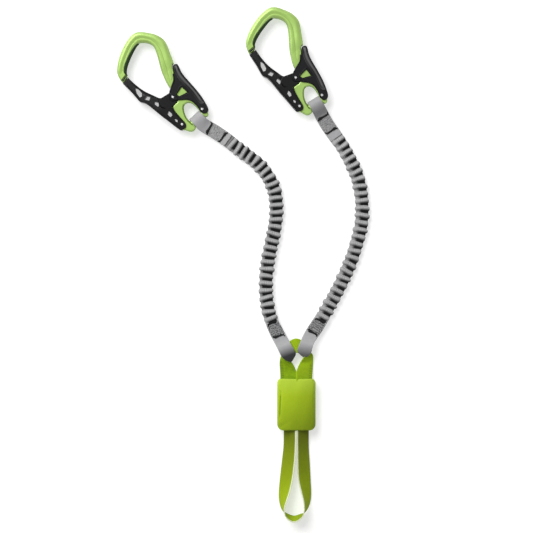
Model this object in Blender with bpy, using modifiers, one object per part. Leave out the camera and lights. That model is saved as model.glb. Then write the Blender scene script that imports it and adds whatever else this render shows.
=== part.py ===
"""Via ferrata lanyard: two squeeze-lever carabiners on ribbed elastic arms, joined to an energy absorber.

It lies flat on the floor, +Z up, with the origin under the middle of the absorber's pouch. All sizes are in metres.
"""

import math

import bmesh
import bpy
from mathutils import Matrix, Vector

# Layout on the floor. Places of the lying pieces are pixel coordinates of the photograph, turned into metres.
PIXEL = 0.00111
PIXEL_ORIGIN = (296.3, 404.2)
FIT = 0.0003
OVERRUN = 0.002

# Carabiner. Its outlines are drawn on a grid of 64 by 125 squares over the body's width and length, with the
# gate's pivot at 0, 0.
BODY_WIDTH = 0.064
BODY_LENGTH = 0.125
GRID_COUNTS = (64, 125)
FRAME_THICKNESS = 0.010
FRAME_ROUNDING = 0.0014
GATE_THICKNESS = 0.0138
LEVER_THICKNESS = 0.0138
COVER_ROUNDING = 0.0005
LEVER_WALL = 0.0019
TONGUE_THICKNESS = 0.0038
RECESS_DEPTH = 0.0022
TIP_THICKNESS = 0.0100
LINK_BOSS_RADIUS = 0.0044
RIVET_RADIUS = 0.0014
RIVET_HEAD_RADIUS = 0.0021
RIVET_HEAD_HEIGHT = 0.0008
BAR_RADIUS = 0.0048
NOSE_NECK_THICKNESS = 0.0052
NOSE_LIP_THICKNESS = 0.0088
NOSE_KEY_THICKNESS = 0.0028
NOSE_KEY_WIDTH = 0.0042
NOSE_KEY_REACH = 0.0042
SPRING_RADIUS = 0.0015
SPRING_WIRE = 0.00025
SPRING_TURNS = 5
SPRING_LENGTH = 0.0060
SQUEEZE_DEGREES = 4.0
GATE_DEGREES = 20.0

# Arms: a ribbed elastic sleeve with a core, between a sewn eye on the carabiner's bar and one on the webbing loop.
SLEEVE_WIDTH = 0.0172
SLEEVE_THICKNESS = 0.0092
VALLEY_WIDTH = 0.0152
VALLEY_THICKNESS = 0.0062
RIB_PITCH = 0.0081
BORE_WIDTH = 0.0116
BORE_THICKNESS = 0.0032
TAPE_THICKNESS = 0.0014
TAPE_WIDTH = 0.0160
SEWN_THICKNESS = 0.0048
UPPER_FOLD_WIDTH = 0.0146
UPPER_EYE_LENGTH = 0.044
UPPER_LOOP_LENGTH = 0.015
LOWER_FOLD_WIDTH = 0.0126
LOWER_EYE_LENGTH = 0.0395
LOWER_LOOP_LENGTH = 0.014

# Webbing loops and the pouch.
WEBBING_WIDTH = 0.0175
WEBBING_THICKNESS = 0.0022
GATHERED_WIDTH = 0.0086
LEAST_RISE = 0.12
POUCH_WIDTH = 0.0428
POUCH_LENGTH = 0.0576
POUCH_HEIGHT = 0.0200
POUCH_ROUNDING = 0.0062
POUCH_WALL = 0.0022
PACK_LAYERS = 5
PACK_LAYER_THICKNESS = 0.0019
PACK_LENGTH = 0.0440

CHEEK_INSIDE = FRAME_THICKNESS / 2 + FIT
MID_HEIGHT = LEVER_THICKNESS / 2 + RIVET_HEAD_HEIGHT
UPPER_FOLD_RADIUS = BAR_RADIUS + FIT
GATHERED_REACH = math.hypot(GATHERED_WIDTH, WEBBING_THICKNESS) / 2
LOWER_FOLD_RADIUS = GATHERED_REACH + FIT
LOWER_EYE_HEIGHT = LOWER_FOLD_RADIUS + TAPE_THICKNESS
SLEEVE_HEIGHT = SLEEVE_THICKNESS / 2

# Outlines on the carabiner's grid, as shares counted in squares. A third entry of 1 marks a sharp corner.
FRAME_SHARES = (
    (-37.8, 70.8, 1), (-38.9, 76.0), (-38.3, 84.0), (-34.9, 90.0), (-30.3, 96.0), (-24.1, 102.0), (-16.3, 108.0),
    (-9.1, 112.0), (-1.0, 114.2), (6.1, 112.0), (11.8, 108.0), (17.0, 104.0), (21.3, 99.0), (24.5, 92.5),
    (24.8, 86.0), (23.9, 78.0), (22.8, 68.0), (22.1, 64.6, 1), (20.0, 63.7), (19.0, 61.5), (19.3, 55.0),
    (20.3, 50.0), (21.6, 44.0), (24.4, 36.0), (27.2, 28.0), (29.6, 20.0), (30.9, 12.0), (31.4, 5.0), (31.6, -0.8),
    (30.9, -3.4), (28.5, -4.6), (26.4, -3.6), (25.2, 0.0), (24.1, 4.5), (22.6, 10.0), (20.6, 15.2), (17.5, 18.3),
    (13.5, 18.9), (10.2, 16.6), (8.4, 12.0), (7.7, 7.0), (8.0, 3.0), (9.4, -2.0), (11.3, -6.5), (12.0, -9.4),
    (9.6, -11.5), (5.6, -11.7), (2.6, -9.4), (0.0, -6.8), (-2.8, -4.9), (-4.5, -2.0), (-4.3, 1.8), (-2.6, 4.4),
    (-2.0, 8.0), (-2.0, 17.5), (-0.6, 21.8), (2.4, 23.7), (5.8, 24.4), (8.3, 26.6), (8.9, 31.0), (8.5, 36.0),
    (6.6, 41.0), (5.5, 46.0), (5.6, 56.0), (6.3, 64.0), (8.2, 73.0), (9.9, 81.0), (10.9, 88.0), (10.2, 93.5),
    (6.2, 98.3), (1.6, 101.0), (-2.0, 102.2), (-6.5, 100.9), (-13.0, 96.6), (-20.0, 91.0), (-26.0, 85.2),
    (-29.6, 80.0), (-30.3, 74.3, 1),
)
FRAME_LEFT_EDGE_SHARES = (
    (-4.5, 1.0), (-2.6, 4.4), (-2.0, 8.0), (-2.0, 17.5), (-0.6, 21.8), (2.4, 23.7), (5.8, 24.4), (8.3, 26.6),
    (8.9, 31.0), (8.5, 36.0),
)
GATE_SHARES = (
    (-38.0, 69.9, 1), (-36.6, 65.5), (-34.2, 58.5), (-32.3, 51.0), (-31.2, 46.0), (-30.0, 43.2), (-27.3, 40.8),
    (-24.6, 38.2), (-22.6, 34.5), (-20.0, 28.5), (-16.5, 20.5), (-12.6, 12.5), (-9.4, 5.5), (-6.6, -0.5),
    (-5.2, -3.6), (-3.0, -5.3), (0.2, -5.5), (2.7, -4.2), (3.9, -1.4), (3.5, 2.0), (2.2, 6.0), (0.9, 11.0),
    (-0.4, 16.5), (-0.6, 22.0), (-0.2, 24.5, 1), (-0.2, 34.9, 1), (-6.0, 36.0), (-9.5, 37.7), (-12.0, 40.5),
    (-15.5, 45.0), (-19.5, 50.0), (-22.5, 55.0), (-25.5, 61.0), (-28.0, 67.5), (-29.8, 73.2, 1),
)
GATE_WINDOW_SHARES = (
    ((-28.2, 59.6, 1), (-25.6, 57.0, 1), (-24.1, 51.0, 1), (-25.8, 47.8, 1), (-28.3, 47.8, 1), (-29.4, 54.0, 1)),
    ((-24.8, 43.4, 1), (-20.6, 45.6, 1), (-17.4, 43.0, 1), (-20.6, 40.0, 1)),
    ((-17.2, 33.6, 1), (-15.5, 36.4, 1), (-11.4, 32.4, 1), (-14.8, 29.2, 1)),
    ((-9.4, 17.2, 1), (-6.6, 20.6, 1), (-4.9, 17.0, 1), (-5.2, 13.6, 1), (-7.9, 13.0, 1)),
    ((-4.6, 9.8, 1), (-2.2, 7.4, 1), (-3.3, 4.4, 1), (-4.9, 5.8, 1)),
)
LEVER_SHARES = (
    (19.3, 60.9), (20.6, 62.6), (24.6, 62.6), (25.7, 61.0), (25.5, 55.0), (25.9, 49.0), (27.8, 41.0), (29.7, 34.0),
    (31.3, 27.5), (32.7, 21.0), (33.6, 14.0), (34.0, 7.0), (33.7, 2.6), (32.2, 0.2), (30.2, -0.8), (27.6, -0.6),
    (25.6, 1.2), (24.5, 4.5), (23.8, 9.5), (22.5, 14.5), (20.4, 18.8), (16.5, 22.2), (11.0, 24.6), (6.4, 26.8),
    (2.6, 27.6), (0.4, 30.0), (0.6, 33.6), (2.8, 36.8), (6.4, 40.2), (10.6, 43.7), (14.0, 46.7), (15.6, 50.5),
    (17.2, 55.5),
)
LEVER_INSIDE_SHARES = (
    (25.5, 61.0), (25.5, 55.0), (25.9, 49.0), (27.8, 41.0), (29.7, 34.0), (31.3, 27.5), (32.7, 21.0), (33.6, 14.0),
    (34.0, 7.0), (33.9, 2.6),
)
LEVER_WINDOW_SHARES = ((9.3, 32.2, 1), (18.2, 37.2, 1), (21.2, 29.2, 1), (11.6, 29.2, 1))
GATE_RECESS_SHARES = (
    (-9.6, 24.1), (-11.6, 25.4), (-12.7, 28.0), (-12.9, 31.0), (-12.2, 34.0), (-11.4, 37.0), (-9.6, 41.0), (-7.0, 45.0),
    (6.0, 45.0), (6.0, 24.1),
)
GATE_PIVOT_SHARE = (0.0, 0.0)
LEVER_PIVOT_SHARE = (27.3, 5.0)
LINK_PIN_SHARE = (4.5, 31.5)
BAR_END_SHARES = ((7.2, -5.6), (28.4, 0.6))
BAR_MIDDLE_SHARE = (18.2, -2.4)
NOSE_NECK_SHARES = ((-38.4, 73.0), (-30.4, 76.7))
NOSE_LIP_SHARES = ((-37.9, 71.2), (-30.3, 74.7))
NOSE_NECK_HEIGHT_SHARE = 2.6
NOSE_LIP_HEIGHT_SHARE = 1.6
SPRING_SEAT_SHARE = (30.3, 16.0)
TAPER_SHARES = (26.0, 74.0)

# Routes of the arms over the floor, chosen by hand along the middle of each arm, from the bar to the loop.
ROUTE_PIXELS = {
    "left": ((197.9, 119.2), (203.2, 124.4), (209.6, 128.6), (215.9, 132.2), (228.1, 140.6), (234.9, 146.1),
             (246.3, 154.7), (257.9, 163.8), (266.2, 173.6), (272.9, 186.2), (275.9, 199.5), (276.3, 212.8),
             (274.9, 226.5), (272.0, 241.0), (268.9, 255.9), (266.7, 270.8), (265.9, 284.6), (266.6, 299.0),
             (268.9, 312.6), (272.9, 323.4), (277.7, 333.2), (281.6, 341.6), (284.4, 348.9), (287.6, 353.2)),
    "right": ((315.8, 104.2), (319.6, 111.0), (323.4, 117.8), (327.6, 124.9), (334.8, 135.2), (341.2, 144.2),
              (347.2, 154.3), (352.4, 164.7), (357.2, 176.0), (360.5, 189.6), (362.1, 203.5), (362.1, 216.6),
              (360.4, 229.4), (357.4, 241.0), (353.9, 252.6), (349.7, 264.2), (344.9, 275.4), (339.7, 286.2),
              (334.0, 297.0), (328.3, 307.4), (322.6, 317.4), (316.4, 328.0), (310.9, 340.2), (305.6, 350.8)),
}
TILT_DEGREES = {"left": 26.9, "right": 15.6}
EYE_AXIS_DEGREES = {"left": 50.0, "right": -30.0}

# Webbing edges: the raised edge and the floor edge at each station, in pixels, the webbing's width there as a share of
# its full width, and its level: 0 in the arms' eyes, 1 on the floor, 2 in the pouch's mouth.
Y_LOOP_EDGE_PIXELS = (
    ((296.1, 383.0), (280.6, 383.0), 1.0, 2), ((296.1, 377.0), (280.4, 377.0), 1.0, 2),
    ((295.6, 371.2), (280.1, 370.6), 1.0, 1), ((292.6, 365.4), (279.8, 364.0), 0.86, 1),
    ((284.9, 360.1), (281.3, 357.1), 0.49, 0), ((289.4, 354.7), (285.8, 351.7), 0.49, 0),
    ((293.3, 350.1), (289.7, 347.1), 0.49, 0), ((295.7, 347.9), (296.0, 341.6), 0.50, 0),
    ((299.2, 349.8), (301.6, 345.8), 0.49, 0), ((304.4, 352.8), (306.8, 348.8), 0.49, 0),
    ((310.5, 356.3), (312.9, 352.3), 0.49, 0), ((302.8, 365.0), (313.4, 362.2), 0.78, 1),
    ((297.4, 371.0), (312.8, 369.8), 1.0, 1), ((297.0, 377.0), (312.2, 377.0), 1.0, 2),
    ((297.0, 383.0), (312.0, 383.0), 1.0, 2),
)
TIE_LOOP_EDGE_PIXELS = (
    ((295.3, 425.5), (283.9, 425.5), 1.0, 2), ((295.3, 431.5), (283.9, 431.5), 1.0, 2),
    ((295.2, 447.0), (283.6, 447.0), 1.0, 1), ((294.7, 463.0), (281.9, 462.5), 1.0, 1),
    ((292.9, 480.0), (279.8, 481.5), 1.0, 1), ((289.8, 492.5), (278.9, 495.0), 1.0, 1),
    ((286.4, 501.5), (279.9, 504.0), 1.0, 1), ((284.3, 509.0), (282.6, 510.8), 1.0, 1),
    ((286.3, 517.0), (287.4, 514.3), 1.0, 1), ((293.6, 521.4), (293.9, 516.4), 1.0, 1),
    ((300.8, 517.8), (300.3, 514.8), 1.0, 1), ((303.7, 511.6), (305.5, 512.4), 1.0, 1),
    ((303.4, 501.5), (309.6, 505.0), 1.0, 1), ((301.0, 490.5), (311.2, 495.0), 1.0, 1),
    ((298.7, 478.0), (310.7, 481.0), 1.0, 1), ((297.6, 463.0), (309.8, 463.5), 1.0, 1),
    ((297.3, 447.0), (308.8, 447.0), 1.0, 1), ((297.3, 431.5), (308.8, 431.5), 1.0, 2),
    ((297.3, 425.5), (308.8, 425.5), 1.0, 2),
)


def clear_scene():
    for old in list(bpy.data.objects):
        bpy.data.objects.remove(old, do_unlink=True)


def new_collection(name):
    made = bpy.data.collections.new(name)
    bpy.context.scene.collection.children.link(made)
    return made


def new_material(name, colour, roughness, metallic=0.0):
    made = bpy.data.materials.new(name)
    made.use_nodes = True
    shader = made.node_tree.nodes["Principled BSDF"]
    shader.inputs["Base Color"].default_value = (*colour, 1.0)
    shader.inputs["Roughness"].default_value = roughness
    shader.inputs["Metallic"].default_value = metallic
    return made


clear_scene()
PARTS = new_collection("via_ferrata_lanyard")
CUTTERS = new_collection("cutters")
LIME_METAL = new_material("lime_anodised", (0.55, 0.78, 0.22), 0.32, 0.85)
BLACK_METAL = new_material("black_metal", (0.03, 0.03, 0.033), 0.4, 0.3)
BLACK_PLASTIC = new_material("black_plastic", (0.03, 0.03, 0.033), 0.5)
STEEL = new_material("bright_steel", (0.82, 0.83, 0.84), 0.25, 1.0)
GREY_TAPE = new_material("grey_tape", (0.36, 0.37, 0.38), 0.9)
DARK_RUBBER = new_material("elastic_core", (0.06, 0.06, 0.06), 0.8)
LIME_WEBBING = new_material("lime_webbing", (0.36, 0.60, 0.02), 0.85)


def place(pixel, height=0.0):
    """A pixel of the photograph as a point over the floor."""
    return Vector(((pixel[0] - PIXEL_ORIGIN[0]) * PIXEL, (PIXEL_ORIGIN[1] - pixel[1]) * PIXEL, height))


def grid(share):
    """A point of the carabiner's grid."""
    return Vector((share[0] * BODY_WIDTH / GRID_COUNTS[0], share[1] * BODY_LENGTH / GRID_COUNTS[1]))


def turned(point, degrees, centre=(0.0, 0.0)):
    """A flat point turned about a centre."""
    angle = math.radians(degrees)
    x, y = point[0] - centre[0], point[1] - centre[1]
    return Vector((centre[0] + x * math.cos(angle) - y * math.sin(angle),
                   centre[1] + x * math.sin(angle) + y * math.cos(angle)))


GATE_PIVOT = grid(GATE_PIVOT_SHARE)
LEVER_PIVOT = grid(LEVER_PIVOT_SHARE)
LINK_PIN = grid(LINK_PIN_SHARE)
BAR_MIDDLE = grid(BAR_MIDDLE_SHARE)
BAR_ENDS = tuple(grid(share) for share in BAR_END_SHARES)


def link(obj, collection):
    for old in list(obj.users_collection):
        old.objects.unlink(obj)
    collection.objects.link(obj)
    return obj


def baked(obj):
    """Turns an object with modifiers, or a curve, into a plain welded mesh object in the same place."""
    bpy.context.view_layer.update()
    mesh = bpy.data.meshes.new_from_object(obj.evaluated_get(bpy.context.evaluated_depsgraph_get()))
    work = bmesh.new()
    work.from_mesh(mesh)
    bmesh.ops.remove_doubles(work, verts=work.verts, dist=0.00001)
    work.to_mesh(mesh)
    work.free()
    made = bpy.data.objects.new(obj.name, mesh)
    made.matrix_world = obj.matrix_world
    CUTTERS.objects.link(made)
    bpy.data.objects.remove(obj, do_unlink=True)
    return made


def flat_plate(name, outlines, thickness, rounding=0.0, height=0.0, edge_steps=0):
    """A plate cut to smooth outlines, the first its edge and the others its holes."""
    curve = bpy.data.curves.new(name, "CURVE")
    curve.dimensions = "2D"
    curve.fill_mode = "BOTH"
    curve.resolution_u = 2
    curve.render_resolution_u = 0
    curve.extrude = thickness / 2 - rounding
    curve.bevel_depth = rounding
    curve.bevel_resolution = edge_steps
    curve.offset = -rounding
    for outline in outlines:
        spline = curve.splines.new("BEZIER")
        spline.use_cyclic_u = True
        spline.bezier_points.add(len(outline) - 1)
        for point, entry in zip(spline.bezier_points, outline):
            point.co = (entry[0], entry[1], height)
            handle = "VECTOR" if len(entry) > 2 else "AUTO"
            point.handle_left_type = point.handle_right_type = handle
    made = bpy.data.objects.new(name, curve)
    CUTTERS.objects.link(made)
    return baked(made)


def on_grid(shares):
    return [(*grid(entry), *entry[2:]) for entry in shares]


def solid_cylinder(name, radius, low, high, at=(0.0, 0.0), sides=20):
    mesh = bpy.data.meshes.new(name)
    work = bmesh.new()
    bmesh.ops.create_cone(work, cap_ends=True, segments=sides, radius1=radius, radius2=radius, depth=high - low,
                          matrix=Matrix.Translation((at[0], at[1], (low + high) / 2)))
    work.to_mesh(mesh)
    work.free()
    made = bpy.data.objects.new(name, mesh)
    CUTTERS.objects.link(made)
    return made


def solid_box(name, size, centre, degrees=0.0, about_x_degrees=0.0):
    mesh = bpy.data.meshes.new(name)
    work = bmesh.new()
    shape = (Matrix.Translation(centre) @ Matrix.Rotation(math.radians(degrees), 4, "Z")
             @ Matrix.Rotation(math.radians(about_x_degrees), 4, "X") @ Matrix.Diagonal((*size, 1)))
    bmesh.ops.create_cube(work, size=1, matrix=shape)
    work.to_mesh(mesh)
    work.free()
    made = bpy.data.objects.new(name, mesh)
    CUTTERS.objects.link(made)
    return made


def solid_rod(name, radius, start, end, sides=20):
    """A cylinder between two points."""
    start, end = Vector(start), Vector(end)
    along = end - start
    mesh = bpy.data.meshes.new(name)
    work = bmesh.new()
    turn = along.to_track_quat("Z", "Y").to_matrix().to_4x4()
    bmesh.ops.create_cone(work, cap_ends=True, segments=sides, radius1=radius, radius2=radius, depth=along.length,
                          matrix=Matrix.Translation((start + end) / 2) @ turn)
    work.to_mesh(mesh)
    work.free()
    made = bpy.data.objects.new(name, mesh)
    CUTTERS.objects.link(made)
    return made


def combine(target, tool, operation):
    """Cuts, joins or intersects a solid with another, and removes the tool."""
    step = target.modifiers.new(operation.lower(), "BOOLEAN")
    step.operation = operation
    step.object = tool
    step.solver = "EXACT"
    result = baked(target)
    bpy.data.objects.remove(tool, do_unlink=True)
    return result


def finished(obj, name, material, parent=None, origin=(0.0, 0.0, 0.0), sharp_degrees=35.0):
    """Names a solid, gives it its material and moves its origin to a point on its joint's axis."""
    origin = Vector(origin)
    obj.data.transform(Matrix.Translation(-origin))
    obj.name = name
    obj.data.name = name
    obj.data.materials.clear()
    obj.data.materials.append(material)
    obj.data.shade_smooth()
    obj.data.set_sharp_from_angle(angle=math.radians(sharp_degrees))
    link(obj, PARTS)
    obj.parent = parent
    obj.location = origin
    return obj


def lofted(name, rings):
    """A closed solid through rings of points that all have the same count, with flat ends."""
    work = bmesh.new()
    made_rings = [[work.verts.new(point) for point in ring] for ring in rings]
    for first, second in zip(made_rings, made_rings[1:]):
        for index in range(len(first)):
            after = (index + 1) % len(first)
            work.faces.new((first[index], first[after], second[after], second[index]))
    work.faces.new(list(reversed(made_rings[0])))
    work.faces.new(made_rings[-1])
    bmesh.ops.recalc_face_normals(work, faces=work.faces)
    mesh = bpy.data.meshes.new(name)
    work.to_mesh(mesh)
    work.free()
    made = bpy.data.objects.new(name, mesh)
    CUTTERS.objects.link(made)
    return made


def smooth_route(points):
    """Closely spaced points of one smooth curve through the given ones, and how far along each lies."""
    points = [Vector(point) for point in points]
    padded = [2 * points[0] - points[1], *points, 2 * points[-1] - points[-2]]
    fine = []
    for before, start, end, after in zip(padded, padded[1:], padded[2:], padded[3:]):
        for step in range(16):
            t = step / 16
            fine.append(0.5 * ((2 * start) + (end - before) * t + (2 * before - 5 * start + 4 * end - after) * t ** 2
                               + (3 * start - before - 3 * end + after) * t ** 3))
    fine.append(points[-1])
    lengths = [0.0]
    for first, second in zip(fine, fine[1:]):
        lengths.append(lengths[-1] + (second - first).length)
    return fine, lengths


def along(fine, lengths, distance):
    """The point at a distance along a finely divided curve, going straight on past its ends."""
    if distance <= 0:
        return fine[0] + (fine[0] - fine[1]).normalized() * -distance
    if distance >= lengths[-1]:
        return fine[-1] + (fine[-1] - fine[-2]).normalized() * (distance - lengths[-1])
    low, high = 0, len(lengths) - 1
    while high - low > 1:
        middle = (low + high) // 2
        low, high = (middle, high) if lengths[middle] <= distance else (low, middle)
    share = (distance - lengths[low]) / (lengths[high] - lengths[low])
    return fine[low].lerp(fine[high], share)


def cam_path():
    """Places of the link pin in the gate's own frame while the lever is squeezed."""
    steps = 8
    path = []
    for step in range(steps + 1):
        squeeze = SQUEEZE_DEGREES * step / steps
        pin = turned(LINK_PIN, squeeze, LEVER_PIVOT)
        path.append(turned(pin, GATE_DEGREES * step / steps, GATE_PIVOT))
    return path


def round_slot(path, radius, end_steps=6):
    """The outline of a slot of one width along a path, with round ends."""
    outline = []
    for points in (path, path[::-1]):
        heading = points[-1] - points[-2]
        side = Vector((heading.y, -heading.x)).normalized()
        for first, second in zip(points, points[1:]):
            step = (second - first).normalized()
            outline.append(first + Vector((step.y, -step.x)) * radius)
        for step in range(end_steps + 1):
            outline.append(points[-1] + turned(side * radius, 180 * step / end_steps))
    return outline


def sector(low, high, start_degrees, end_degrees, steps=8):
    """The outline of a ring sector about the gate's pivot."""
    angles = [math.radians(start_degrees + (end_degrees - start_degrees) * step / steps) for step in range(steps + 1)]
    outer = [(high * math.cos(angle), high * math.sin(angle), 1) for angle in angles]
    inner = [(low * math.cos(angle), low * math.sin(angle), 1) for angle in reversed(angles)]
    return outer + inner


PIN_REACH = (LINK_PIN - GATE_PIVOT).length
PIN_DEGREES = math.degrees(math.atan2(LINK_PIN.y - GATE_PIVOT.y, LINK_PIN.x - GATE_PIVOT.x))
TONGUE_HALF = LINK_BOSS_RADIUS - FIT * 3
PIVOT_HOLE = RIVET_RADIUS + FIT
BAR_DIRECTION = (BAR_ENDS[1] - BAR_ENDS[0]).normalized()


def frame_body():
    """The lime body: a hook with a webbing eye, a keyed nose and a mid slot for the gate's tongue."""
    body = flat_plate("frame", [on_grid(FRAME_SHARES)], FRAME_THICKNESS, FRAME_ROUNDING, edge_steps=1)
    bar = solid_rod("bar", BAR_RADIUS, (*BAR_ENDS[0], 0.0), (*BAR_ENDS[1], 0.0), 24)
    body = combine(body, bar, "UNION")
    spread = math.degrees(TONGUE_HALF / PIN_REACH)
    slot = sector(PIN_REACH - TONGUE_HALF - FIT * 2, PIN_REACH + TONGUE_HALF + FIT * 2,
                  PIN_DEGREES - GATE_DEGREES - spread - 2, PIN_DEGREES + GATE_DEGREES)
    slot_height = TONGUE_THICKNESS + 2 * FIT
    body = combine(body, flat_plate("tongue_slot", [slot], slot_height), "DIFFERENCE")
    for pivot in (GATE_PIVOT, LEVER_PIVOT):
        hole = solid_cylinder("pivot_hole", PIVOT_HOLE, -FRAME_THICKNESS, FRAME_THICKNESS, pivot, 16)
        body = combine(body, hole, "DIFFERENCE")
    seat = grid(SPRING_SEAT_SHARE)
    bore_radius = SPRING_RADIUS + SPRING_WIRE + FIT
    bore = solid_rod("spring_bore", bore_radius, (seat.x + OVERRUN, seat.y, 0.0),
                     (seat.x - SPRING_LENGTH - FIT, seat.y, 0.0), 12)
    body = combine(body, bore, "DIFFERENCE")
    for ends, band_share, left in ((NOSE_NECK_SHARES, NOSE_NECK_HEIGHT_SHARE, NOSE_NECK_THICKNESS),
                                   (NOSE_LIP_SHARES, NOSE_LIP_HEIGHT_SHARE, NOSE_LIP_THICKNESS)):
        low, high = grid(ends[0]), grid(ends[1])
        direction = high - low
        degrees = math.degrees(math.atan2(direction.y, direction.x))
        middle = (low + high) / 2
        depth = FRAME_THICKNESS - left
        for side in (-1, 1):
            size = (direction.length * 2, grid((0, band_share)).y, depth)
            centre = (middle.x, middle.y, side * (left / 2 + depth / 2))
            body = combine(body, solid_box("nose_band", size, centre, degrees), "DIFFERENCE")
    low, high = grid(NOSE_LIP_SHARES[0]), grid(NOSE_LIP_SHARES[1])
    direction = (high - low).normalized()
    inward = Vector((direction.y, -direction.x))
    centre = (low + high) / 2 + inward * (NOSE_KEY_REACH / 2 - FIT)
    key = solid_box("nose_key", (NOSE_KEY_WIDTH, NOSE_KEY_REACH, NOSE_KEY_THICKNESS), (*centre, 0.0),
                    math.degrees(math.atan2(direction.y, direction.x)))
    return combine(body, key, "UNION")


def gate_body():
    """The black gate: a windowed arm that forks round the body at its pivot and carries a tongue with a cam slot."""
    body = flat_plate("gate", [on_grid(GATE_SHARES)], GATE_THICKNESS, COVER_ROUNDING)
    edge = [turned(grid(share), GATE_DEGREES) - Vector((2 * FIT, 0.0)) for share in FRAME_LEFT_EDGE_SHARES]
    far = grid((GRID_COUNTS[0], GRID_COUNTS[1]))
    pivot_low = grid((-6.2, -8.0))
    fork = [(*pivot_low, 1), (*(grid((-5.0, 2.6))), 1), *[(*point, 1) for point in edge[1:]],
            (edge[-1].x, far.y / 2, 1), (far.x, far.y / 2, 1), (far.x, pivot_low.y, 1)]
    body = combine(body, flat_plate("fork", [fork], 2 * CHEEK_INSIDE - FIT), "DIFFERENCE")
    recess_level = GATE_THICKNESS / 2 - RECESS_DEPTH
    path = cam_path()
    recess = [(*grid(share), 1) for share in GATE_RECESS_SHARES]
    for side in (-1, 1):
        middle = side * (recess_level + RECESS_DEPTH)
        cutter = flat_plate("recess", [recess], 2 * RECESS_DEPTH, height=middle)
        body = combine(body, cutter, "DIFFERENCE")
    taper_low, taper_high = grid((0, TAPER_SHARES[0])).y, grid((0, TAPER_SHARES[1])).y
    drop = (GATE_THICKNESS - TIP_THICKNESS) / 2
    slope = math.degrees(math.atan2(drop, taper_high - taper_low))
    length = taper_high - taper_low
    for side in (-1, 1):
        size = (BODY_WIDTH * 2, length * 1.2, drop * 4)
        centre_z = side * ((GATE_THICKNESS - drop) / 2 + drop * 2)
        centre = (-BODY_WIDTH / 2, (taper_low + taper_high) / 2, centre_z)
        wedge = solid_box("taper", size, centre, 0.0, -side * slope)
        body = combine(body, wedge, "DIFFERENCE")
    spread = math.degrees(TONGUE_HALF / PIN_REACH)
    tongue = sector(PIN_REACH - TONGUE_HALF, PIN_REACH + TONGUE_HALF, PIN_DEGREES - spread,
                    PIN_DEGREES + GATE_DEGREES + spread)
    body = combine(body, flat_plate("tongue", [tongue], TONGUE_THICKNESS), "UNION")
    for window in GATE_WINDOW_SHARES:
        body = combine(body, flat_plate("window", [on_grid(window)], GATE_THICKNESS * 2), "DIFFERENCE")
    slot = [(*point, 1) for point in round_slot(path, RIVET_RADIUS + FIT)]
    body = combine(body, flat_plate("cam_slot", [slot], GATE_THICKNESS * 2), "DIFFERENCE")
    hole = solid_cylinder("pivot_hole", PIVOT_HOLE, -GATE_THICKNESS, GATE_THICKNESS, GATE_PIVOT, 16)
    body = combine(body, hole, "DIFFERENCE")
    low, high = grid(NOSE_LIP_SHARES[0]), grid(NOSE_LIP_SHARES[1])
    direction = (high - low).normalized()
    inward = Vector((direction.y, -direction.x))
    size = (NOSE_KEY_WIDTH + 2 * FIT + 2 * OVERRUN, NOSE_KEY_REACH * 2 + 2 * FIT, NOSE_KEY_THICKNESS + 2 * FIT)
    centre = (low + high) / 2 - direction * (OVERRUN - FIT) + inward * FIT
    keyway = solid_box("keyway", size, (*centre, 0.0), math.degrees(math.atan2(direction.y, direction.x)))
    return combine(body, keyway, "DIFFERENCE")


def lever_body():
    """The black palm lever: two cheeks joined by a back wall, with one window."""
    body = flat_plate("lever", [on_grid(LEVER_SHARES), on_grid(LEVER_WINDOW_SHARES)], LEVER_THICKNESS,
                      COVER_ROUNDING)
    outside = [grid(share) for share in LEVER_INSIDE_SHARES]
    inside = [point - Vector((LEVER_WALL, 0.0)) for point in outside]
    top, bottom, far = grid((0, 66)).y, grid((0, -4)).y, grid((-6, 0)).x
    cavity = [(inside[0].x, top, 1), *[(*point, 1) for point in inside], (inside[-1].x, bottom, 1), (far, bottom, 1),
              (far, top, 1)]
    body = combine(body, flat_plate("cavity", [cavity], 2 * CHEEK_INSIDE), "DIFFERENCE")
    for pivot in (LEVER_PIVOT, LINK_PIN):
        hole = solid_cylinder("pivot_hole", PIVOT_HOLE, -LEVER_THICKNESS, LEVER_THICKNESS, pivot, 16)
        body = combine(body, hole, "DIFFERENCE")
    return body


def rivet(name):
    """A turned rivet with a low domed head at each end."""
    half, head = LEVER_THICKNESS / 2 + FIT, RIVET_HEAD_HEIGHT - FIT
    profile = ((0.0, half + head), (RIVET_HEAD_RADIUS * 0.6, half + head * 0.9), (RIVET_HEAD_RADIUS, half + head * 0.4),
               (RIVET_HEAD_RADIUS, half), (RIVET_RADIUS, half), (RIVET_RADIUS, 0.0))
    mesh = bpy.data.meshes.new(name)
    points = list(profile) + [(x, -z) for x, z in reversed(profile[:-1])]
    mesh.from_pydata([(x, 0.0, z) for x, z in points], [(i, i + 1) for i in range(len(points) - 1)], [])
    made = bpy.data.objects.new(name, mesh)
    CUTTERS.objects.link(made)
    turn = made.modifiers.new("turn", "SCREW")
    turn.steps = turn.render_steps = 12
    turn.use_merge_vertices = True
    turn.merge_threshold = 0.00001
    turn.use_normal_calculate = True
    return baked(made)


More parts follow.
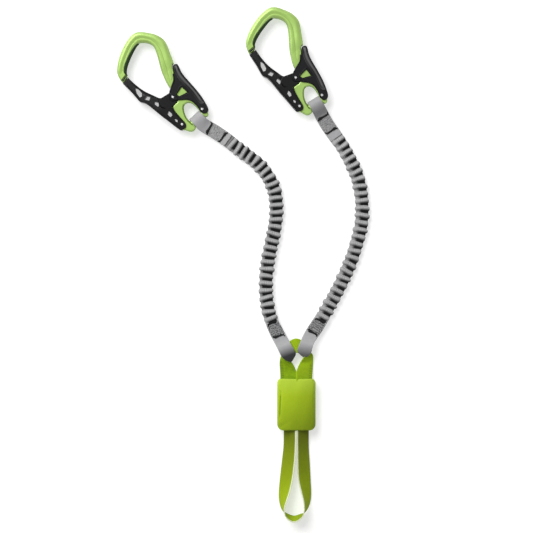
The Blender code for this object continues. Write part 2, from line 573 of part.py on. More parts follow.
def coil_spring(name, start, end):
    """A compression spring of round wire between two points."""
    start, end = Vector(start), Vector(end)
    axis = (end - start).normalized()
    side = axis.orthogonal().normalized()
    other = axis.cross(side)
    points = []
    steps = SPRING_TURNS * 9
    length = (end - start).length - 2 * SPRING_WIRE
    for step in range(steps + 1):
        angle = math.tau * SPRING_TURNS * step / steps
        points.append(start + axis * (SPRING_WIRE + length * step / steps)
                      + SPRING_RADIUS * (side * math.cos(angle) + other * math.sin(angle)))
    curve = bpy.data.curves.new(name, "CURVE")
    curve.dimensions = "3D"
    curve.bevel_depth = SPRING_WIRE
    curve.bevel_resolution = 0
    curve.use_fill_caps = True
    curve.render_resolution_u = 0
    spline = curve.splines.new("POLY")
    spline.points.add(len(points) - 1)
    for point, where in zip(spline.points, points):
        point.co = (*where, 1.0)
    made = bpy.data.objects.new(name, curve)
    CUTTERS.objects.link(made)
    print("spring turns are", round((length / SPRING_TURNS - 2 * SPRING_WIRE) * 1000, 2), "mm apart")
    return baked(made)


def carabiner(side, shapes, arm_start):
    """Places one carabiner by the middle of its bar."""
    swing = bpy.data.objects.new(side + "_carabiner_swing", None)
    PARTS.objects.link(swing)
    swing.location = (arm_start.x, arm_start.y, MID_HEIGHT)
    swing.rotation_euler = (0.0, 0.0, math.radians(TILT_DEGREES[side]))
    for name, (mesh, material, origin) in shapes.items():
        made = bpy.data.objects.new(side + "_" + name, mesh)
        PARTS.objects.link(made)
        made.parent = swing
        made.location = (origin[0] - BAR_MIDDLE.x, origin[1] - BAR_MIDDLE.y, 0.0)
    return swing


def carabiner_shapes():
    """Builds each carabiner piece once, about its own pivot."""
    seat = grid(SPRING_SEAT_SHARE)
    spring_start = (seat.x, seat.y, 0.0)
    spring_end = (seat.x - SPRING_LENGTH, seat.y, 0.0)
    made = {}
    for name, body, material, origin in (
            ("frame", frame_body(), LIME_METAL, BAR_MIDDLE),
            ("gate", gate_body(), BLACK_METAL, GATE_PIVOT),
            ("palm_lever", lever_body(), BLACK_PLASTIC, LEVER_PIVOT),
            ("gate_rivet", rivet("gate_rivet"), STEEL, GATE_PIVOT),
            ("lever_rivet", rivet("lever_rivet"), STEEL, LEVER_PIVOT),
            ("link_pin", rivet("link_pin"), STEEL, LINK_PIN),
            ("lever_spring", coil_spring("lever_spring", spring_start, spring_end), STEEL, BAR_MIDDLE)):
        mesh = body.data
        if not name.endswith(("rivet", "pin")):
            mesh.transform(Matrix.Translation((-origin[0], -origin[1], 0.0)))
        mesh.materials.clear()
        mesh.materials.append(material)
        mesh.shade_smooth()
        mesh.set_sharp_from_angle(angle=math.radians(35))
        bpy.data.objects.remove(body, do_unlink=True)
        made[name] = (mesh, material, origin)
    return made


def flat_ring(centre, sideways, width, thickness, count=10):
    """Points of a flat oval section that stands square to the path, half of them on each round side."""
    ring = []
    straight = (width - thickness) / 2
    half = count // 2
    for end in (1, -1):
        for step in range(half):
            angle = math.pi * (step / (half - 1) - 0.5)
            across = end * (straight + math.cos(angle) * thickness / 2)
            ring.append(centre + sideways * across + Vector((0.0, 0.0, end * math.sin(angle) * thickness / 2)))
    return ring


class Arm:
    """One arm's middle line, and the stretches of it that each piece takes."""

    def __init__(self, side):
        self.side = side
        route = [place(pixel) for pixel in ROUTE_PIXELS[side]]
        self.fine, self.lengths = smooth_route(route)
        self.length = self.lengths[-1]
        self.sleeve_start = UPPER_EYE_LENGTH + FIT
        self.sleeve_end = self.length - LOWER_EYE_LENGTH - FIT

    def at(self, distance):
        return along(self.fine, self.lengths, distance)

    def sideways(self, distance):
        step = self.at(distance + FIT) - self.at(distance - FIT)
        return Vector((-step.y, step.x, 0.0)).normalized()


def smooth_step(value):
    value = min(max(value, 0.0), 1.0)
    return value * value * (3 - 2 * value)


def ribbed_sleeve(arm):
    """A ribbed flat sleeve with a bore along it, two rings to a rib, ending straight."""
    span = arm.sleeve_end - arm.sleeve_start
    ribs = round(span / RIB_PITCH)
    pitch = span / ribs
    rings = [(0.0, VALLEY_WIDTH, VALLEY_THICKNESS)]
    for rib in range(ribs):
        rings.append(((rib + 0.5) * pitch, SLEEVE_WIDTH, SLEEVE_THICKNESS))
        if rib < ribs - 1:
            rings.append(((rib + 1) * pitch, VALLEY_WIDTH, VALLEY_THICKNESS))
    rings.append((span, VALLEY_WIDTH, VALLEY_THICKNESS))
    lift = Vector((0.0, 0.0, SLEEVE_HEIGHT))
    solid = [flat_ring(arm.at(arm.sleeve_start + s) + lift, arm.sideways(arm.sleeve_start + s), width, thick)
             for s, width, thick in rings]
    body = lofted("sleeve", solid)
    steps = 18
    bore = []
    for step in range(steps + 1):
        s = arm.sleeve_start - OVERRUN + (span + 2 * OVERRUN) * step / steps
        bore.append(flat_ring(arm.at(s) + lift, arm.sideways(s), BORE_WIDTH, BORE_THICKNESS, 8))
    core = []
    for step in range(steps + 1):
        s = arm.sleeve_start + FIT + (span - 2 * FIT) * step / steps
        core.append(flat_ring(arm.at(s) + lift, arm.sideways(s), BORE_WIDTH - 3 * FIT, BORE_THICKNESS - 3 * FIT, 8))
    return combine(body, lofted("bore", bore), "DIFFERENCE"), lofted("core", core)


def sewn_eye(name, plan, heights, fold_radius, eye_length, loop_length, across=5):
    """A tape folded round a bar and sewn to itself: an open loop that closes into a flat tongue.

    plan(s, t) is the floor point at distance s back from the fold's axis and share t across the tape, from -1 to 1.
    heights(s) is the tape's middle height.
    """
    outer_radius = fold_radius + TAPE_THICKNESS
    inner_length = loop_length * 0.82
    fold_steps, loop_steps, tongue_steps = 8, 5, 5
    loop = [loop_length * step / loop_steps for step in range(1, loop_steps + 1)]
    tongue = [loop_length + (eye_length - loop_length) * step / tongue_steps for step in range(1, tongue_steps + 1)]

    def outer_half(s):
        return outer_radius + (SEWN_THICKNESS / 2 - outer_radius) * smooth_step(s / loop_length)

    def inner_half(s):
        return fold_radius * (1 - smooth_step(s / inner_length))

    work = bmesh.new()
    stations = []
    for index in range(across):
        t = -1 + 2 * index / (across - 1)

        def point(s, z):
            flat = plan(s, t)
            return work.verts.new((flat.x, flat.y, z))

        outer = [point(s, heights(s) + outer_half(s)) for s in reversed(loop)]
        rims = []
        for step in range(fold_steps + 1):
            angle = math.pi / 2 - math.pi * step / fold_steps
            rims.append((-math.cos(angle), math.sin(angle)))
        for reach, rise in rims:
            outer.append(point(reach * outer_radius, heights(0.0) + rise * outer_radius))
        for s in loop:
            outer.append(point(s, heights(s) - outer_half(s)))
        inner = []
        inner_s = [inner_length * step / loop_steps for step in range(1, loop_steps + 1)]
        for s in reversed(inner_s[:-1]):
            inner.append(point(s, heights(s) + inner_half(s)))
        for reach, rise in rims:
            inner.append(point(reach * fold_radius, heights(0.0) + rise * fold_radius))
        for s in inner_s[:-1]:
            inner.append(point(s, heights(s) - inner_half(s)))
        tip = point(inner_length, heights(inner_length))
        top = [point(s, heights(s) + SEWN_THICKNESS / 2) for s in tongue]
        low = [point(s, heights(s) - SEWN_THICKNESS / 2) for s in tongue]
        stations.append((outer, inner, tip, top, low))
    for first, second in zip(stations, stations[1:]):
        for chain in (0, 3, 4):
            a, b = first[chain], second[chain]
            for i in range(len(a) - 1):
                work.faces.new((a[i], a[i + 1], b[i + 1], b[i]))
        inside_a = [first[2], *first[1], first[2]]
        inside_b = [second[2], *second[1], second[2]]
        for i in range(len(inside_a) - 1):
            work.faces.new((inside_a[i + 1], inside_a[i], inside_b[i], inside_b[i + 1]))
        work.faces.new((first[3][0], first[0][0], second[0][0], second[3][0]))
        work.faces.new((first[0][-1], first[4][0], second[4][0], second[0][-1]))
        work.faces.new((first[4][-1], first[3][-1], second[3][-1], second[4][-1]))
    for end in (stations[0], stations[-1]):
        outer, inner, tip, top, low = end
        full_inner = [tip, *inner, tip]
        for i in range(len(outer) - 1):
            a, b = outer[i], outer[i + 1]
            c, d = full_inner[i + 1], full_inner[i]
            corners = [a, b, c, d] if c is not d else [a, b, c]
            work.faces.new(corners)
        work.faces.new((outer[0], tip, outer[-1], low[0], top[0]))
        for i in range(len(top) - 1):
            work.faces.new((top[i], low[i], low[i + 1], top[i + 1]))
    bmesh.ops.recalc_face_normals(work, faces=work.faces)
    mesh = bpy.data.meshes.new(name)
    work.to_mesh(mesh)
    work.free()
    made = bpy.data.objects.new(name, mesh)
    CUTTERS.objects.link(made)
    return made


def eye_plan(arm, from_start, length, fold_width, axis_degrees):
    """The floor plan of a sewn eye: square to the bar at the fold, then along the arm's middle line."""
    axis = Vector((math.cos(math.radians(axis_degrees)), math.sin(math.radians(axis_degrees)), 0.0))
    origin = arm.at(0.0) if from_start else arm.at(arm.length)
    reach = length * 0.35

    def middle(s):
        return arm.at(s) if from_start else arm.at(arm.length - s)

    def side_at(s):
        side = arm.sideways(s if from_start else arm.length - s)
        return side if side.dot(axis) > 0 else -side

    back = (middle(reach) - origin)
    straight = Vector((-axis.y, axis.x, 0.0))
    if straight.dot(back) < 0:
        straight = -straight

    def plan(s, t):
        share = smooth_step(s / reach) if s > 0 else 0.0
        on_line = middle(max(s, 0.0))
        square = origin + straight * s
        spine = square.lerp(on_line, share)
        side = axis.lerp(side_at(max(s, 0.0)), share).normalized()
        width = fold_width + (TAPE_WIDTH - fold_width) * smooth_step(s / reach)
        return spine + side * (t * width / 2)

    return plan


def band(name, stations):
    """Webbing between a raised edge and a floor edge, as a lofted strip of its full thickness."""
    half = WEBBING_THICKNESS / 2
    pairs = []
    for raised, floor, width_share, level in stations:
        high, low = place(raised), place(floor)
        width = WEBBING_WIDTH * width_share
        rise = math.sqrt(max(width ** 2 - (high - low).length ** 2, (width * LEAST_RISE) ** 2))
        base = (LOWER_EYE_HEIGHT - rise / 2, half + FIT, POUCH_WALL + FIT + half)[level]
        high.z, low.z = base + rise, base
        pairs.append((high, low))
    smooth = []
    for index in range(len(pairs) - 1):
        before, after = pairs[max(index - 1, 0)], pairs[min(index + 2, len(pairs) - 1)]
        start, end = pairs[index], pairs[index + 1]
        for step in range(2):
            t = step / 2
            smooth.append([0.5 * (2 * b + (c - a) * t + (2 * a - 5 * b + 4 * c - d) * t ** 2
                                  + (3 * b - a - 3 * c + d) * t ** 3)
                           for a, b, c, d in zip(before, start, end, after)])
    smooth.append(list(pairs[-1]))
    rings = []
    for index, (high, low) in enumerate(smooth):
        before, after = smooth[max(index - 1, 0)], smooth[min(index + 1, len(smooth) - 1)]
        heading = ((after[0] + after[1]) - (before[0] + before[1])).normalized()
        across = (high - low).normalized()
        normal = across.cross(heading).normalized()
        inset = across * half * 0.7
        rings.append([low, low + inset + normal * half, high - inset + normal * half, high,
                      high - inset - normal * half, low + inset - normal * half])
    return lofted(name, rings)


def pouch():
    """The soft cover round the folded webbing, open at both ends where the webbing leaves."""
    size = (POUCH_WIDTH, POUCH_LENGTH, POUCH_HEIGHT)
    body = solid_box("pouch", size, (0.0, 0.0, POUCH_HEIGHT / 2))
    corners = body.modifiers.new("corners", "BEVEL")
    corners.width = POUCH_ROUNDING
    corners.segments = 3
    corners.limit_method = "ANGLE"
    body = baked(body)
    inside = (POUCH_WIDTH - 2 * POUCH_WALL - POUCH_ROUNDING / 2, POUCH_LENGTH * 2, POUCH_HEIGHT - 2 * POUCH_WALL)
    return combine(body, solid_box("inside", inside, (0.0, 0.0, POUCH_HEIGHT / 2)), "DIFFERENCE")


def folded_pack():
    """The webbing that tears open in a fall, folded to and fro inside the pouch."""
    pitch = PACK_LAYER_THICKNESS + 2 * FIT
    width = POUCH_WIDTH - 2 * POUCH_WALL - POUCH_ROUNDING / 2 - 4 * FIT
    low = POUCH_HEIGHT / 2 - pitch * (PACK_LAYERS - 1) / 2
    turn = pitch / 2
    reach = PACK_LENGTH / 2 - turn - PACK_LAYER_THICKNESS / 2
    path = [Vector((-reach, low))]
    for layer in range(PACK_LAYERS):
        height = low + layer * pitch
        direction = 1 if layer % 2 == 0 else -1
        path.append(Vector((direction * reach, height)))
        if layer < PACK_LAYERS - 1:
            for step in range(1, 4):
                angle = -math.pi / 2 + math.pi * step / 4
                path.append(Vector((direction * (reach + turn * math.cos(angle)), height + turn
                                    + turn * math.sin(angle))))
            path.append(Vector((direction * reach, height + pitch)))
    rings = []
    half = PACK_LAYER_THICKNESS / 2
    for index, point in enumerate(path):
        before, after = path[max(index - 1, 0)], path[min(index + 1, len(path) - 1)]
        heading = (after - before).normalized()
        normal = Vector((-heading.y, heading.x)) * half
        upper, lower = point + normal, point - normal
        rings.append([Vector((-width / 2, lower.x, lower.y)), Vector((width / 2, lower.x, lower.y)),
                      Vector((width / 2, upper.x, upper.y)), Vector((-width / 2, upper.x, upper.y))])
    return lofted("pack", rings)


def build():
    finished(pouch(), "absorber_pouch", LIME_WEBBING)
    finished(folded_pack(), "tear_webbing_pack", LIME_WEBBING)
    finished(band("y_loop", Y_LOOP_EDGE_PIXELS), "y_webbing_loop", LIME_WEBBING)
    finished(band("tie_loop", TIE_LOOP_EDGE_PIXELS), "tie_in_loop", LIME_WEBBING)
    shapes = carabiner_shapes()
    bar_degrees = math.degrees(math.atan2(BAR_DIRECTION.y, BAR_DIRECTION.x))
    for side in ("left", "right"):
        arm = Arm(side)
        carabiner(side, shapes, arm.at(0.0))
        sleeve, core = ribbed_sleeve(arm)
        finished(sleeve, side + "_arm_sleeve", GREY_TAPE)
        finished(core, side + "_arm_elastic", DARK_RUBBER)

        def upper_height(s):
            return MID_HEIGHT + (SLEEVE_HEIGHT - MID_HEIGHT) * smooth_step(s / (UPPER_EYE_LENGTH * 0.8))

        def lower_height(s):
            return LOWER_EYE_HEIGHT + (SLEEVE_HEIGHT - LOWER_EYE_HEIGHT) * smooth_step(s / (LOWER_EYE_LENGTH * 0.8))

        plan = eye_plan(arm, True, UPPER_EYE_LENGTH, UPPER_FOLD_WIDTH, bar_degrees + TILT_DEGREES[side])
        eye = sewn_eye("eye", plan, upper_height, UPPER_FOLD_RADIUS, UPPER_EYE_LENGTH, UPPER_LOOP_LENGTH)
        finished(eye, side + "_carabiner_eye", GREY_TAPE, origin=(*arm.at(0.0).xy, MID_HEIGHT))
        plan = eye_plan(arm, False, LOWER_EYE_LENGTH, LOWER_FOLD_WIDTH, EYE_AXIS_DEGREES[side])
        eye = sewn_eye("eye", plan, lower_height, LOWER_FOLD_RADIUS, LOWER_EYE_LENGTH, LOWER_LOOP_LENGTH)
        finished(eye, side + "_loop_eye", GREY_TAPE, origin=(*arm.at(arm.length).xy, LOWER_EYE_HEIGHT))
        print(side, "arm middle line", round(arm.length, 4), "sleeve from", round(arm.sleeve_start, 4), "to",
              round(arm.sleeve_end, 4))


build()
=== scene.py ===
import math
import bpy
import numpy as np
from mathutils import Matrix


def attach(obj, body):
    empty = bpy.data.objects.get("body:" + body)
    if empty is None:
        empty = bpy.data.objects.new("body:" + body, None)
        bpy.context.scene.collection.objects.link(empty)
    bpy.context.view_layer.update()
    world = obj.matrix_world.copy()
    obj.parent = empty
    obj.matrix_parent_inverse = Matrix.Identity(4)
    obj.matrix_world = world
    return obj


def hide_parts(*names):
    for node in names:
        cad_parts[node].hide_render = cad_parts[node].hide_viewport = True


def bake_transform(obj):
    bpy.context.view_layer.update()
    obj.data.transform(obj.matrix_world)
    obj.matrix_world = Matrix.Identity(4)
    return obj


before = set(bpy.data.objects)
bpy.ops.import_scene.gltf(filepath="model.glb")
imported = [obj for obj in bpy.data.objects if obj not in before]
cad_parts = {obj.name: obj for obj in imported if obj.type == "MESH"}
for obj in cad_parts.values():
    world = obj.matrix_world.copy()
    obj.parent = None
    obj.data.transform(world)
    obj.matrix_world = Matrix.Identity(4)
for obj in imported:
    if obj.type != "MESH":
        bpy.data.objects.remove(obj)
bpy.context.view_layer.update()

rng = np.random.default_rng(11)   # one seed, so that every run gives the same ribs

# picture layout: a pixel is this many metres on the floor
pixel = 0.00111
pixelOrigin = (296.3, 404.2)


def px(x, y, z=0.0):
    # a pixel of the picture as a point over the floor
    return np.array([(x - pixelOrigin[0]) * pixel, (pixelOrigin[1] - y) * pixel, z])


def linked(name, data):
    # a new object in the scene
    made = bpy.data.objects.new(name, data)
    bpy.context.scene.collection.objects.link(made)
    return made


# camera straight above, long lens
view = {"pixels": 533, "lens": 150.0, "sensor": 36.0, "focusHeight": 0.008, "clipEnd": 20.0}
camData = bpy.data.cameras.new("topCamera")
camData.lens = view["lens"]
camData.sensor_width = view["sensor"]
camData.clip_end = view["clipEnd"]
cam = linked("topCamera", camData)
midFrame = px(view["pixels"] / 2, view["pixels"] / 2)
distance = view["pixels"] * pixel * view["lens"] / view["sensor"]
cam.location = (midFrame[0], midFrame[1], view["focusHeight"] + distance)
bpy.context.scene.camera = cam


# numpy surfaces
def smoothLine(points, count):
    # Catmull-Rom curve through the points, 16 steps to a span, read at even steps of arc length
    p = np.asarray(points, float)
    p = np.vstack([2 * p[0] - p[1], p, 2 * p[-1] - p[-2]])
    t = np.linspace(0, 1, 16, endpoint=False)[None, :, None]
    a, b, c, d = p[:-3, None], p[1:-2, None], p[2:-1, None], p[3:, None]
    fine = 0.5 * (2 * b + (c - a) * t + (2 * a - 5 * b + 4 * c - d) * t ** 2
                  + (3 * b - a - 3 * c + d) * t ** 3)
    fine = np.vstack([fine.reshape(-1, p.shape[1]), p[-2]])
    along = lengthAlong(fine)
    want = np.linspace(0, along[-1], count)
    return readAt(want, along, fine), want


def unit(v):
    # a vector divided by its own length
    return v / np.maximum(np.linalg.norm(v, axis=-1, keepdims=True), 1e-12)


def ease(x):
    # from 0 to 1 with level ends: 3 x squared - 2 x cubed
    x = np.clip(x, 0, 1)
    return x * x * (3 - 2 * x)


def lengthAlong(points):
    # distance of each point from the first, along the line through them
    return np.concatenate([[0], np.cumsum(np.linalg.norm(np.diff(points, axis=0), axis=1))])


def readAt(s, along, table):
    # every column of the table at the distances s, by straight lines between its rows
    return np.stack([np.interp(s, along, column) for column in table.T], -1)


def gridFaces(rows, cols, closed=False):
    # points numbered row by row, i along the piece and j round it: a quad between neighbours, and one flat
    # face for each open end
    i, j = np.meshgrid(np.arange(rows if closed else rows - 1), np.arange(cols), indexing="ij")
    nextRow, nextCol = (i + 1) % rows, (j + 1) % cols
    quads = np.stack([i * cols + j, i * cols + nextCol, nextRow * cols + nextCol, nextRow * cols + j], -1)
    ends = np.array([np.arange(cols)[::-1], np.arange((rows - 1) * cols, rows * cols)])
    return i, j, quads.reshape(-1, 4), ends[:0] if closed else ends


def linkedPiece(name, points, faces, material, body):
    # one mesh object in the scene, smooth, with its material and its body
    mesh = bpy.data.meshes.new(name)
    mesh.from_pydata(points.reshape(-1, 3).tolist(), [], faces)
    mesh.shade_smooth()
    mesh.materials.append(material)
    piece = linked(name, mesh)
    if body:
        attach(piece, body)
    return piece


def gridPiece(name, points, material, body, uv=None, closedColumns=False):
    # one mesh from points[i, j], i along the piece and j round it
    i, j, quads, ends = gridFaces(*points.shape[:2], closedColumns)
    piece = linkedPiece(name, points, quads.tolist() + ends.tolist(), material, body)
    if uv is not None:
        # uv[i, j] has one more row and column than points, for the faces that close the grid
        layer = piece.data.uv_layers.new(name="cloth")
        corner = np.stack([uv[i, j], uv[i, j + 1], uv[i + 1, j + 1], uv[i + 1, j]], 2).reshape(-1, 2)
        flat = np.zeros((len(piece.data.loops), 2))
        flat[:len(corner)] = corner
        layer.data.foreach_set("uv", flat.ravel())
    return piece


def pointUp(piece):
    # turns the faces outwards if the volume, the sum of a . (b x c) over the triangles, is negative
    mesh = piece.data
    mesh.calc_loop_triangles()
    v = np.zeros(len(mesh.vertices) * 3)
    mesh.vertices.foreach_get("co", v)
    v = v.reshape(-1, 3)
    t = np.zeros(len(mesh.loop_triangles) * 3, int)
    mesh.loop_triangles.foreach_get("vertices", t)
    a, b, c = (v[t.reshape(-1, 3)[:, k]] for k in range(3))
    if np.einsum("ij,ij->i", a, np.cross(b, c)).sum() < 0:
        mesh.flip_normals()
    return piece


def strap(name, centres, sides, width, thickness, material, body, facePoints=9, centred=False):
    # a flat band: at each centre its section is a slot shape, width along side and thickness along the
    # normal; u is the distance along it, from its middle if centred, and v the distance across
    centres, sides = np.asarray(centres), unit(np.asarray(sides))
    n, edgePoints = len(centres), 5
    width = np.broadcast_to(width, (n,)).astype(float)
    thickness = np.broadcast_to(thickness, (n,)).astype(float)
    forward = unit(np.gradient(centres, axis=0))
    normal = unit(np.cross(forward, sides))
    face = np.linspace(-1, 1, facePoints)
    turn = np.linspace(-math.pi / 2, math.pi / 2, edgePoints + 2)[1:-1]
    half, r = width / 2, thickness / 2
    flat = np.maximum(half - r, 1e-5)
    top = np.stack([np.outer(flat, face), np.outer(r, np.ones(facePoints))], -1)
    bottom = np.stack([np.outer(flat, -face), -np.outer(r, np.ones(facePoints))], -1)
    right = np.stack([flat[:, None] + np.outer(r, np.cos(turn)), np.outer(r, np.sin(-turn))], -1)
    left = np.stack([-flat[:, None] - np.outer(r, np.cos(turn)), np.outer(r, np.sin(turn))], -1)
    section = np.concatenate([top, right, bottom, left], 1)
    points = (centres[:, None] + section[..., 0:1] * sides[:, None] + section[..., 1:2] * normal[:, None])
    along = lengthAlong(centres)
    if centred:
        along = along - along[-1] / 2
    around = np.concatenate([face, np.full(edgePoints, 1.0), -face, np.full(edgePoints, -1.0), [-1.0]])
    uv = np.zeros((n + 1, points.shape[1] + 1, 2))
    uv[:n, :, 0] = along[:, None]
    uv[n, :, 0] = along[-1]
    uv[:, :, 1] = (around * half.max())[None]
    return pointUp(gridPiece(name, points, material, body, uv))


# shader maths: an expression on sockets adds its Math nodes
def feed(tree, slot, value):
    # a Maths is linked to the slot, and anything else becomes its value
    if isinstance(value, Maths):
        tree.links.new(value.socket, slot)
    else:
        slot.default_value = value


def mathNode(tree, operation, values):
    # operation on the values, each a Maths or a number
    node = tree.nodes.new("ShaderNodeMath")
    node.operation = operation
    for slot, value in zip(node.inputs, values):
        feed(tree, slot, value)
    return Maths(tree, node.outputs[0])


def mathMethod(operation):
    # a method that gives the socket of a new Math node of this kind
    def method(self, *others):
        return mathNode(self.tree, operation, (self, *others))
    return method


class Maths:
    # one output socket, with the operators and functions that can be applied to it
    def __init__(self, tree, socket):
        self.tree = tree
        self.socket = socket

    __add__ = __radd__ = mathMethod("ADD")
    __sub__ = mathMethod("SUBTRACT")
    __mul__ = __rmul__ = mathMethod("MULTIPLY")
    __truediv__ = mathMethod("DIVIDE")
    __gt__ = mathMethod("GREATER_THAN")
    sin = mathMethod("SINE")
    abs = mathMethod("ABSOLUTE")
    wrap = mathMethod("FLOORED_MODULO")
    atMost = mathMethod("MINIMUM")
    atLeast = mathMethod("MAXIMUM")

    def __rsub__(self, other):
        # other - self
        return mathNode(self.tree, "SUBTRACT", (other, self))

    def clip(self):
        # held between 0 and 1
        return self.atMost(1.0).atLeast(0.0)


class Finish:
    # one material and the few calls that build its nodes; settings are constants on the shader itself
    def __init__(self, name, **settings):
        self.material = bpy.data.materials.new(name)
        self.material.use_nodes = True
        self.tree = self.material.node_tree
        self.shader = self.tree.nodes["Principled BSDF"]
        for socket, value in settings.items():
            self.shader.inputs[socket.replace("_", " ")].default_value = value

    def node(self, kind, settings=None, inputs=None, out=0):
        # a node of this kind: its settings first, then the values or links of its sockets
        made = self.tree.nodes.new(kind)
        for key, value in (settings or {}).items():
            setattr(made, key, value)
        for key, value in (inputs or {}).items():
            feed(self.tree, made.inputs[key], value)
        return Maths(self.tree, made.outputs[out])

    def parts(self, place):
        # the x, y and z of a vector
        split = self.node("ShaderNodeSeparateXYZ", inputs={0: place}).socket.node
        return [Maths(self.tree, output) for output in split.outputs]

    def uv(self):
        # u, v and both as one vector
        place = self.node("ShaderNodeUVMap", {"uv_map": "cloth"})
        u, v, _ = self.parts(place)
        return u, v, place

    def objectPlace(self):
        # Object coordinates
        return self.node("ShaderNodeTexCoord", out=3)

    def level(self):
        # 1 where the surface lies flat and 0 where it stands upright: the size of the normal's z
        return self.parts(self.node("ShaderNodeTexCoord", out=1))[2].abs()

    def noise(self, scale, detail=2.0, place=None):
        # scale cells to a metre, with detail finer layers on top
        inputs = {"Vector": place or self.objectPlace(), "Scale": scale, "Detail": detail}
        return self.node("ShaderNodeTexNoise", inputs=inputs)

    def mix(self, factor, first, second):
        # colour = first x (1 - factor) + second x factor
        first, second = (tone if isinstance(tone, Maths) else (*tone, 1.0) for tone in (first, second))
        return self.node("ShaderNodeMix", {"data_type": "RGBA"}, {0: factor, 6: first, 7: second}, out=2)

    def colour(self, value):
        # base colour = value
        self.tree.links.new(value.socket, self.shader.inputs["Base Color"])

    def roughness(self, value):
        # roughness = value
        self.tree.links.new(value.socket, self.shader.inputs["Roughness"])

    def bump(self, height, distance, strength=1.0):
        # the normal leans with the slope of height x distance, by strength
        inputs = {"Height": height, "Distance": distance, "Strength": strength}
        bumped = self.node("ShaderNodeBump", inputs=inputs)
        self.tree.links.new(bumped.socket, self.shader.inputs["Normal"])


def wovenCloth(name, light, dark, yarn, shade=None, edge=None, sheen=0.25, yarnHeight=0.00012):
    # warp yarns run along u and weft yarns along v; each yarn is a rounded ridge, the size of a sine, and
    # every second weft is half a step on; shade changes the tone, and edge is (tone, v where it starts)
    made = Finish(name, Roughness=0.85, Sheen_Weight=sheen, Specular_IOR_Level=0.25)
    u, v, place = made.uv()
    warp = (v * (math.pi / yarn)).sin().abs()
    row = (v / yarn).wrap(2.0) > 1.0
    weft = ((u + row * (yarn * 0.9)) * (math.pi / (yarn * 1.8))).sin().abs()
    weave = warp * 0.6 + weft * 0.4
    patches = made.noise(260.0, 3.0, place)
    fuzz = made.noise(2600.0)
    tone = (weave * 0.7 + patches * 0.35 + fuzz * 0.25 - 0.15).clip()
    colour = made.mix(tone, dark, light)
    if shade:
        colour = shade(made, u, v, colour)
    if edge:
        edgeTone, start = edge
        colour = made.mix((v > start) * 0.95, colour, edgeTone)
    made.colour(colour)
    made.bump(weave + fuzz * 0.4, yarnHeight)
    return made.material


def ribbedCloth(name, pitch, lightFrom, lightShare):
    # knitted elastic: fine cords along the arm, and painted shade in the deep fold between neighbouring ribs;
    # from v = lightFrom to the left side, which faces the light, the painted shade is lighter by lightShare
    made = Finish(name, Roughness=0.86, Sheen_Weight=0.12, Specular_IOR_Level=0.12)
    u, v, _ = made.uv()
    cord = (v * (math.pi / 0.00085)).sin().abs()
    row = (u * (math.pi / 0.0006) + cord * 0.8).sin().abs()
    fuzz = made.noise(2400.0)
    cloud = made.noise(140.0)
    tone = (cord * 0.45 + row * 0.25 + fuzz * 0.35 + cloud * 0.3 - 0.2).clip()
    colour = made.mix(tone, (0.20, 0.20, 0.20), (0.60, 0.60, 0.605))
    share = (u / pitch).wrap(1.0)
    # painted shade in each valley, lighter on the side the light comes from
    fold = ((share - 0.40) * 3.0).clip() + ((0.13 - share) * 9.0).clip()
    litSide = ((v - lightFrom) * 400.0).clip()
    colour = made.mix(fold.clip() * (1.0 - litSide * lightShare), colour, (0.010, 0.010, 0.010))
    made.colour(colour)
    made.bump(cord * 0.7 + row * 0.3 + fuzz * 0.3, 0.00012)
    return made.material


def anodised(name, face, edge, wall, groove=None):
    # satin metal: the flat face, a painted highlight on the edge where it slopes, and painted shade on
    # upright walls;
    # groove is the tone of painted shade along a fine groove at 0.60 of a strip's width
    made = Finish(name, Metallic=0.35, Roughness=0.36, Coat_Weight=0.12, Coat_Roughness=0.3)
    grain = made.noise(3800.0)
    drift = made.noise(70.0, 3.0)
    level = made.level()
    slopeHighlight = (1.0 - (level - 0.74).abs() * 4.0).clip()
    uprightShade = (1.0 - level * 1.9).clip()
    tone = made.mix((drift * 0.7 + grain * 0.3 - 0.1).clip(), tuple(c * 0.80 for c in face), face)
    tone = made.mix(slopeHighlight * 0.50, tone, edge)
    if groove:
        u, v, _ = made.uv()
        # painted shade along the groove
        line = (1.0 - (v - 0.60).abs() * 30.0).clip() * (u * 14.0).clip()
        tone = made.mix(line * (0.45 + drift * 0.6), tone, groove)
    made.colour(made.mix(uprightShade, tone, wall))
    made.roughness(grain * 0.18 + drift * 0.10 + 0.26)
    made.bump(grain * 0.5 + drift * 0.5, 0.00005, 0.5)
    return made.material


def blackened(name, tone, rough, grainScale, grainHeight, ridgeHighlight=None):
    # black plastic or thread with a fine grain; the ridge tone is a painted highlight where the surface lies
    # level
    made = Finish(name, Roughness=rough, Specular_IOR_Level=0.26)
    grain = made.noise(grainScale, 3.0)
    drift = made.noise(60.0)
    colour = made.mix((grain * 0.6 + drift * 0.5 - 0.05).clip(), tuple(c * 0.6 for c in tone), tone)
    if ridgeHighlight:
        colour = made.mix(((made.level() - 0.80) * 5.0).clip() * 0.9, colour, ridgeHighlight)
    made.colour(colour)
    made.roughness(grain * 0.2 + rough - 0.1)
    made.bump(grain, grainHeight, 0.8)
    return made.material


def rivetMetal(name):
    # painted highlight on the flat of the head, and painted shade on every side face
    made = Finish(name, Metallic=0.9, Roughness=0.3)
    grain = made.noise(3000.0)
    flat = ((made.level() - 0.965) * 40.0).clip()
    made.colour(made.mix(flat, (0.03, 0.03, 0.032), (0.88, 0.88, 0.89)))
    made.roughness(grain * 0.25 + 0.2)
    made.bump(grain, 0.00002, 0.5)
    return made.material
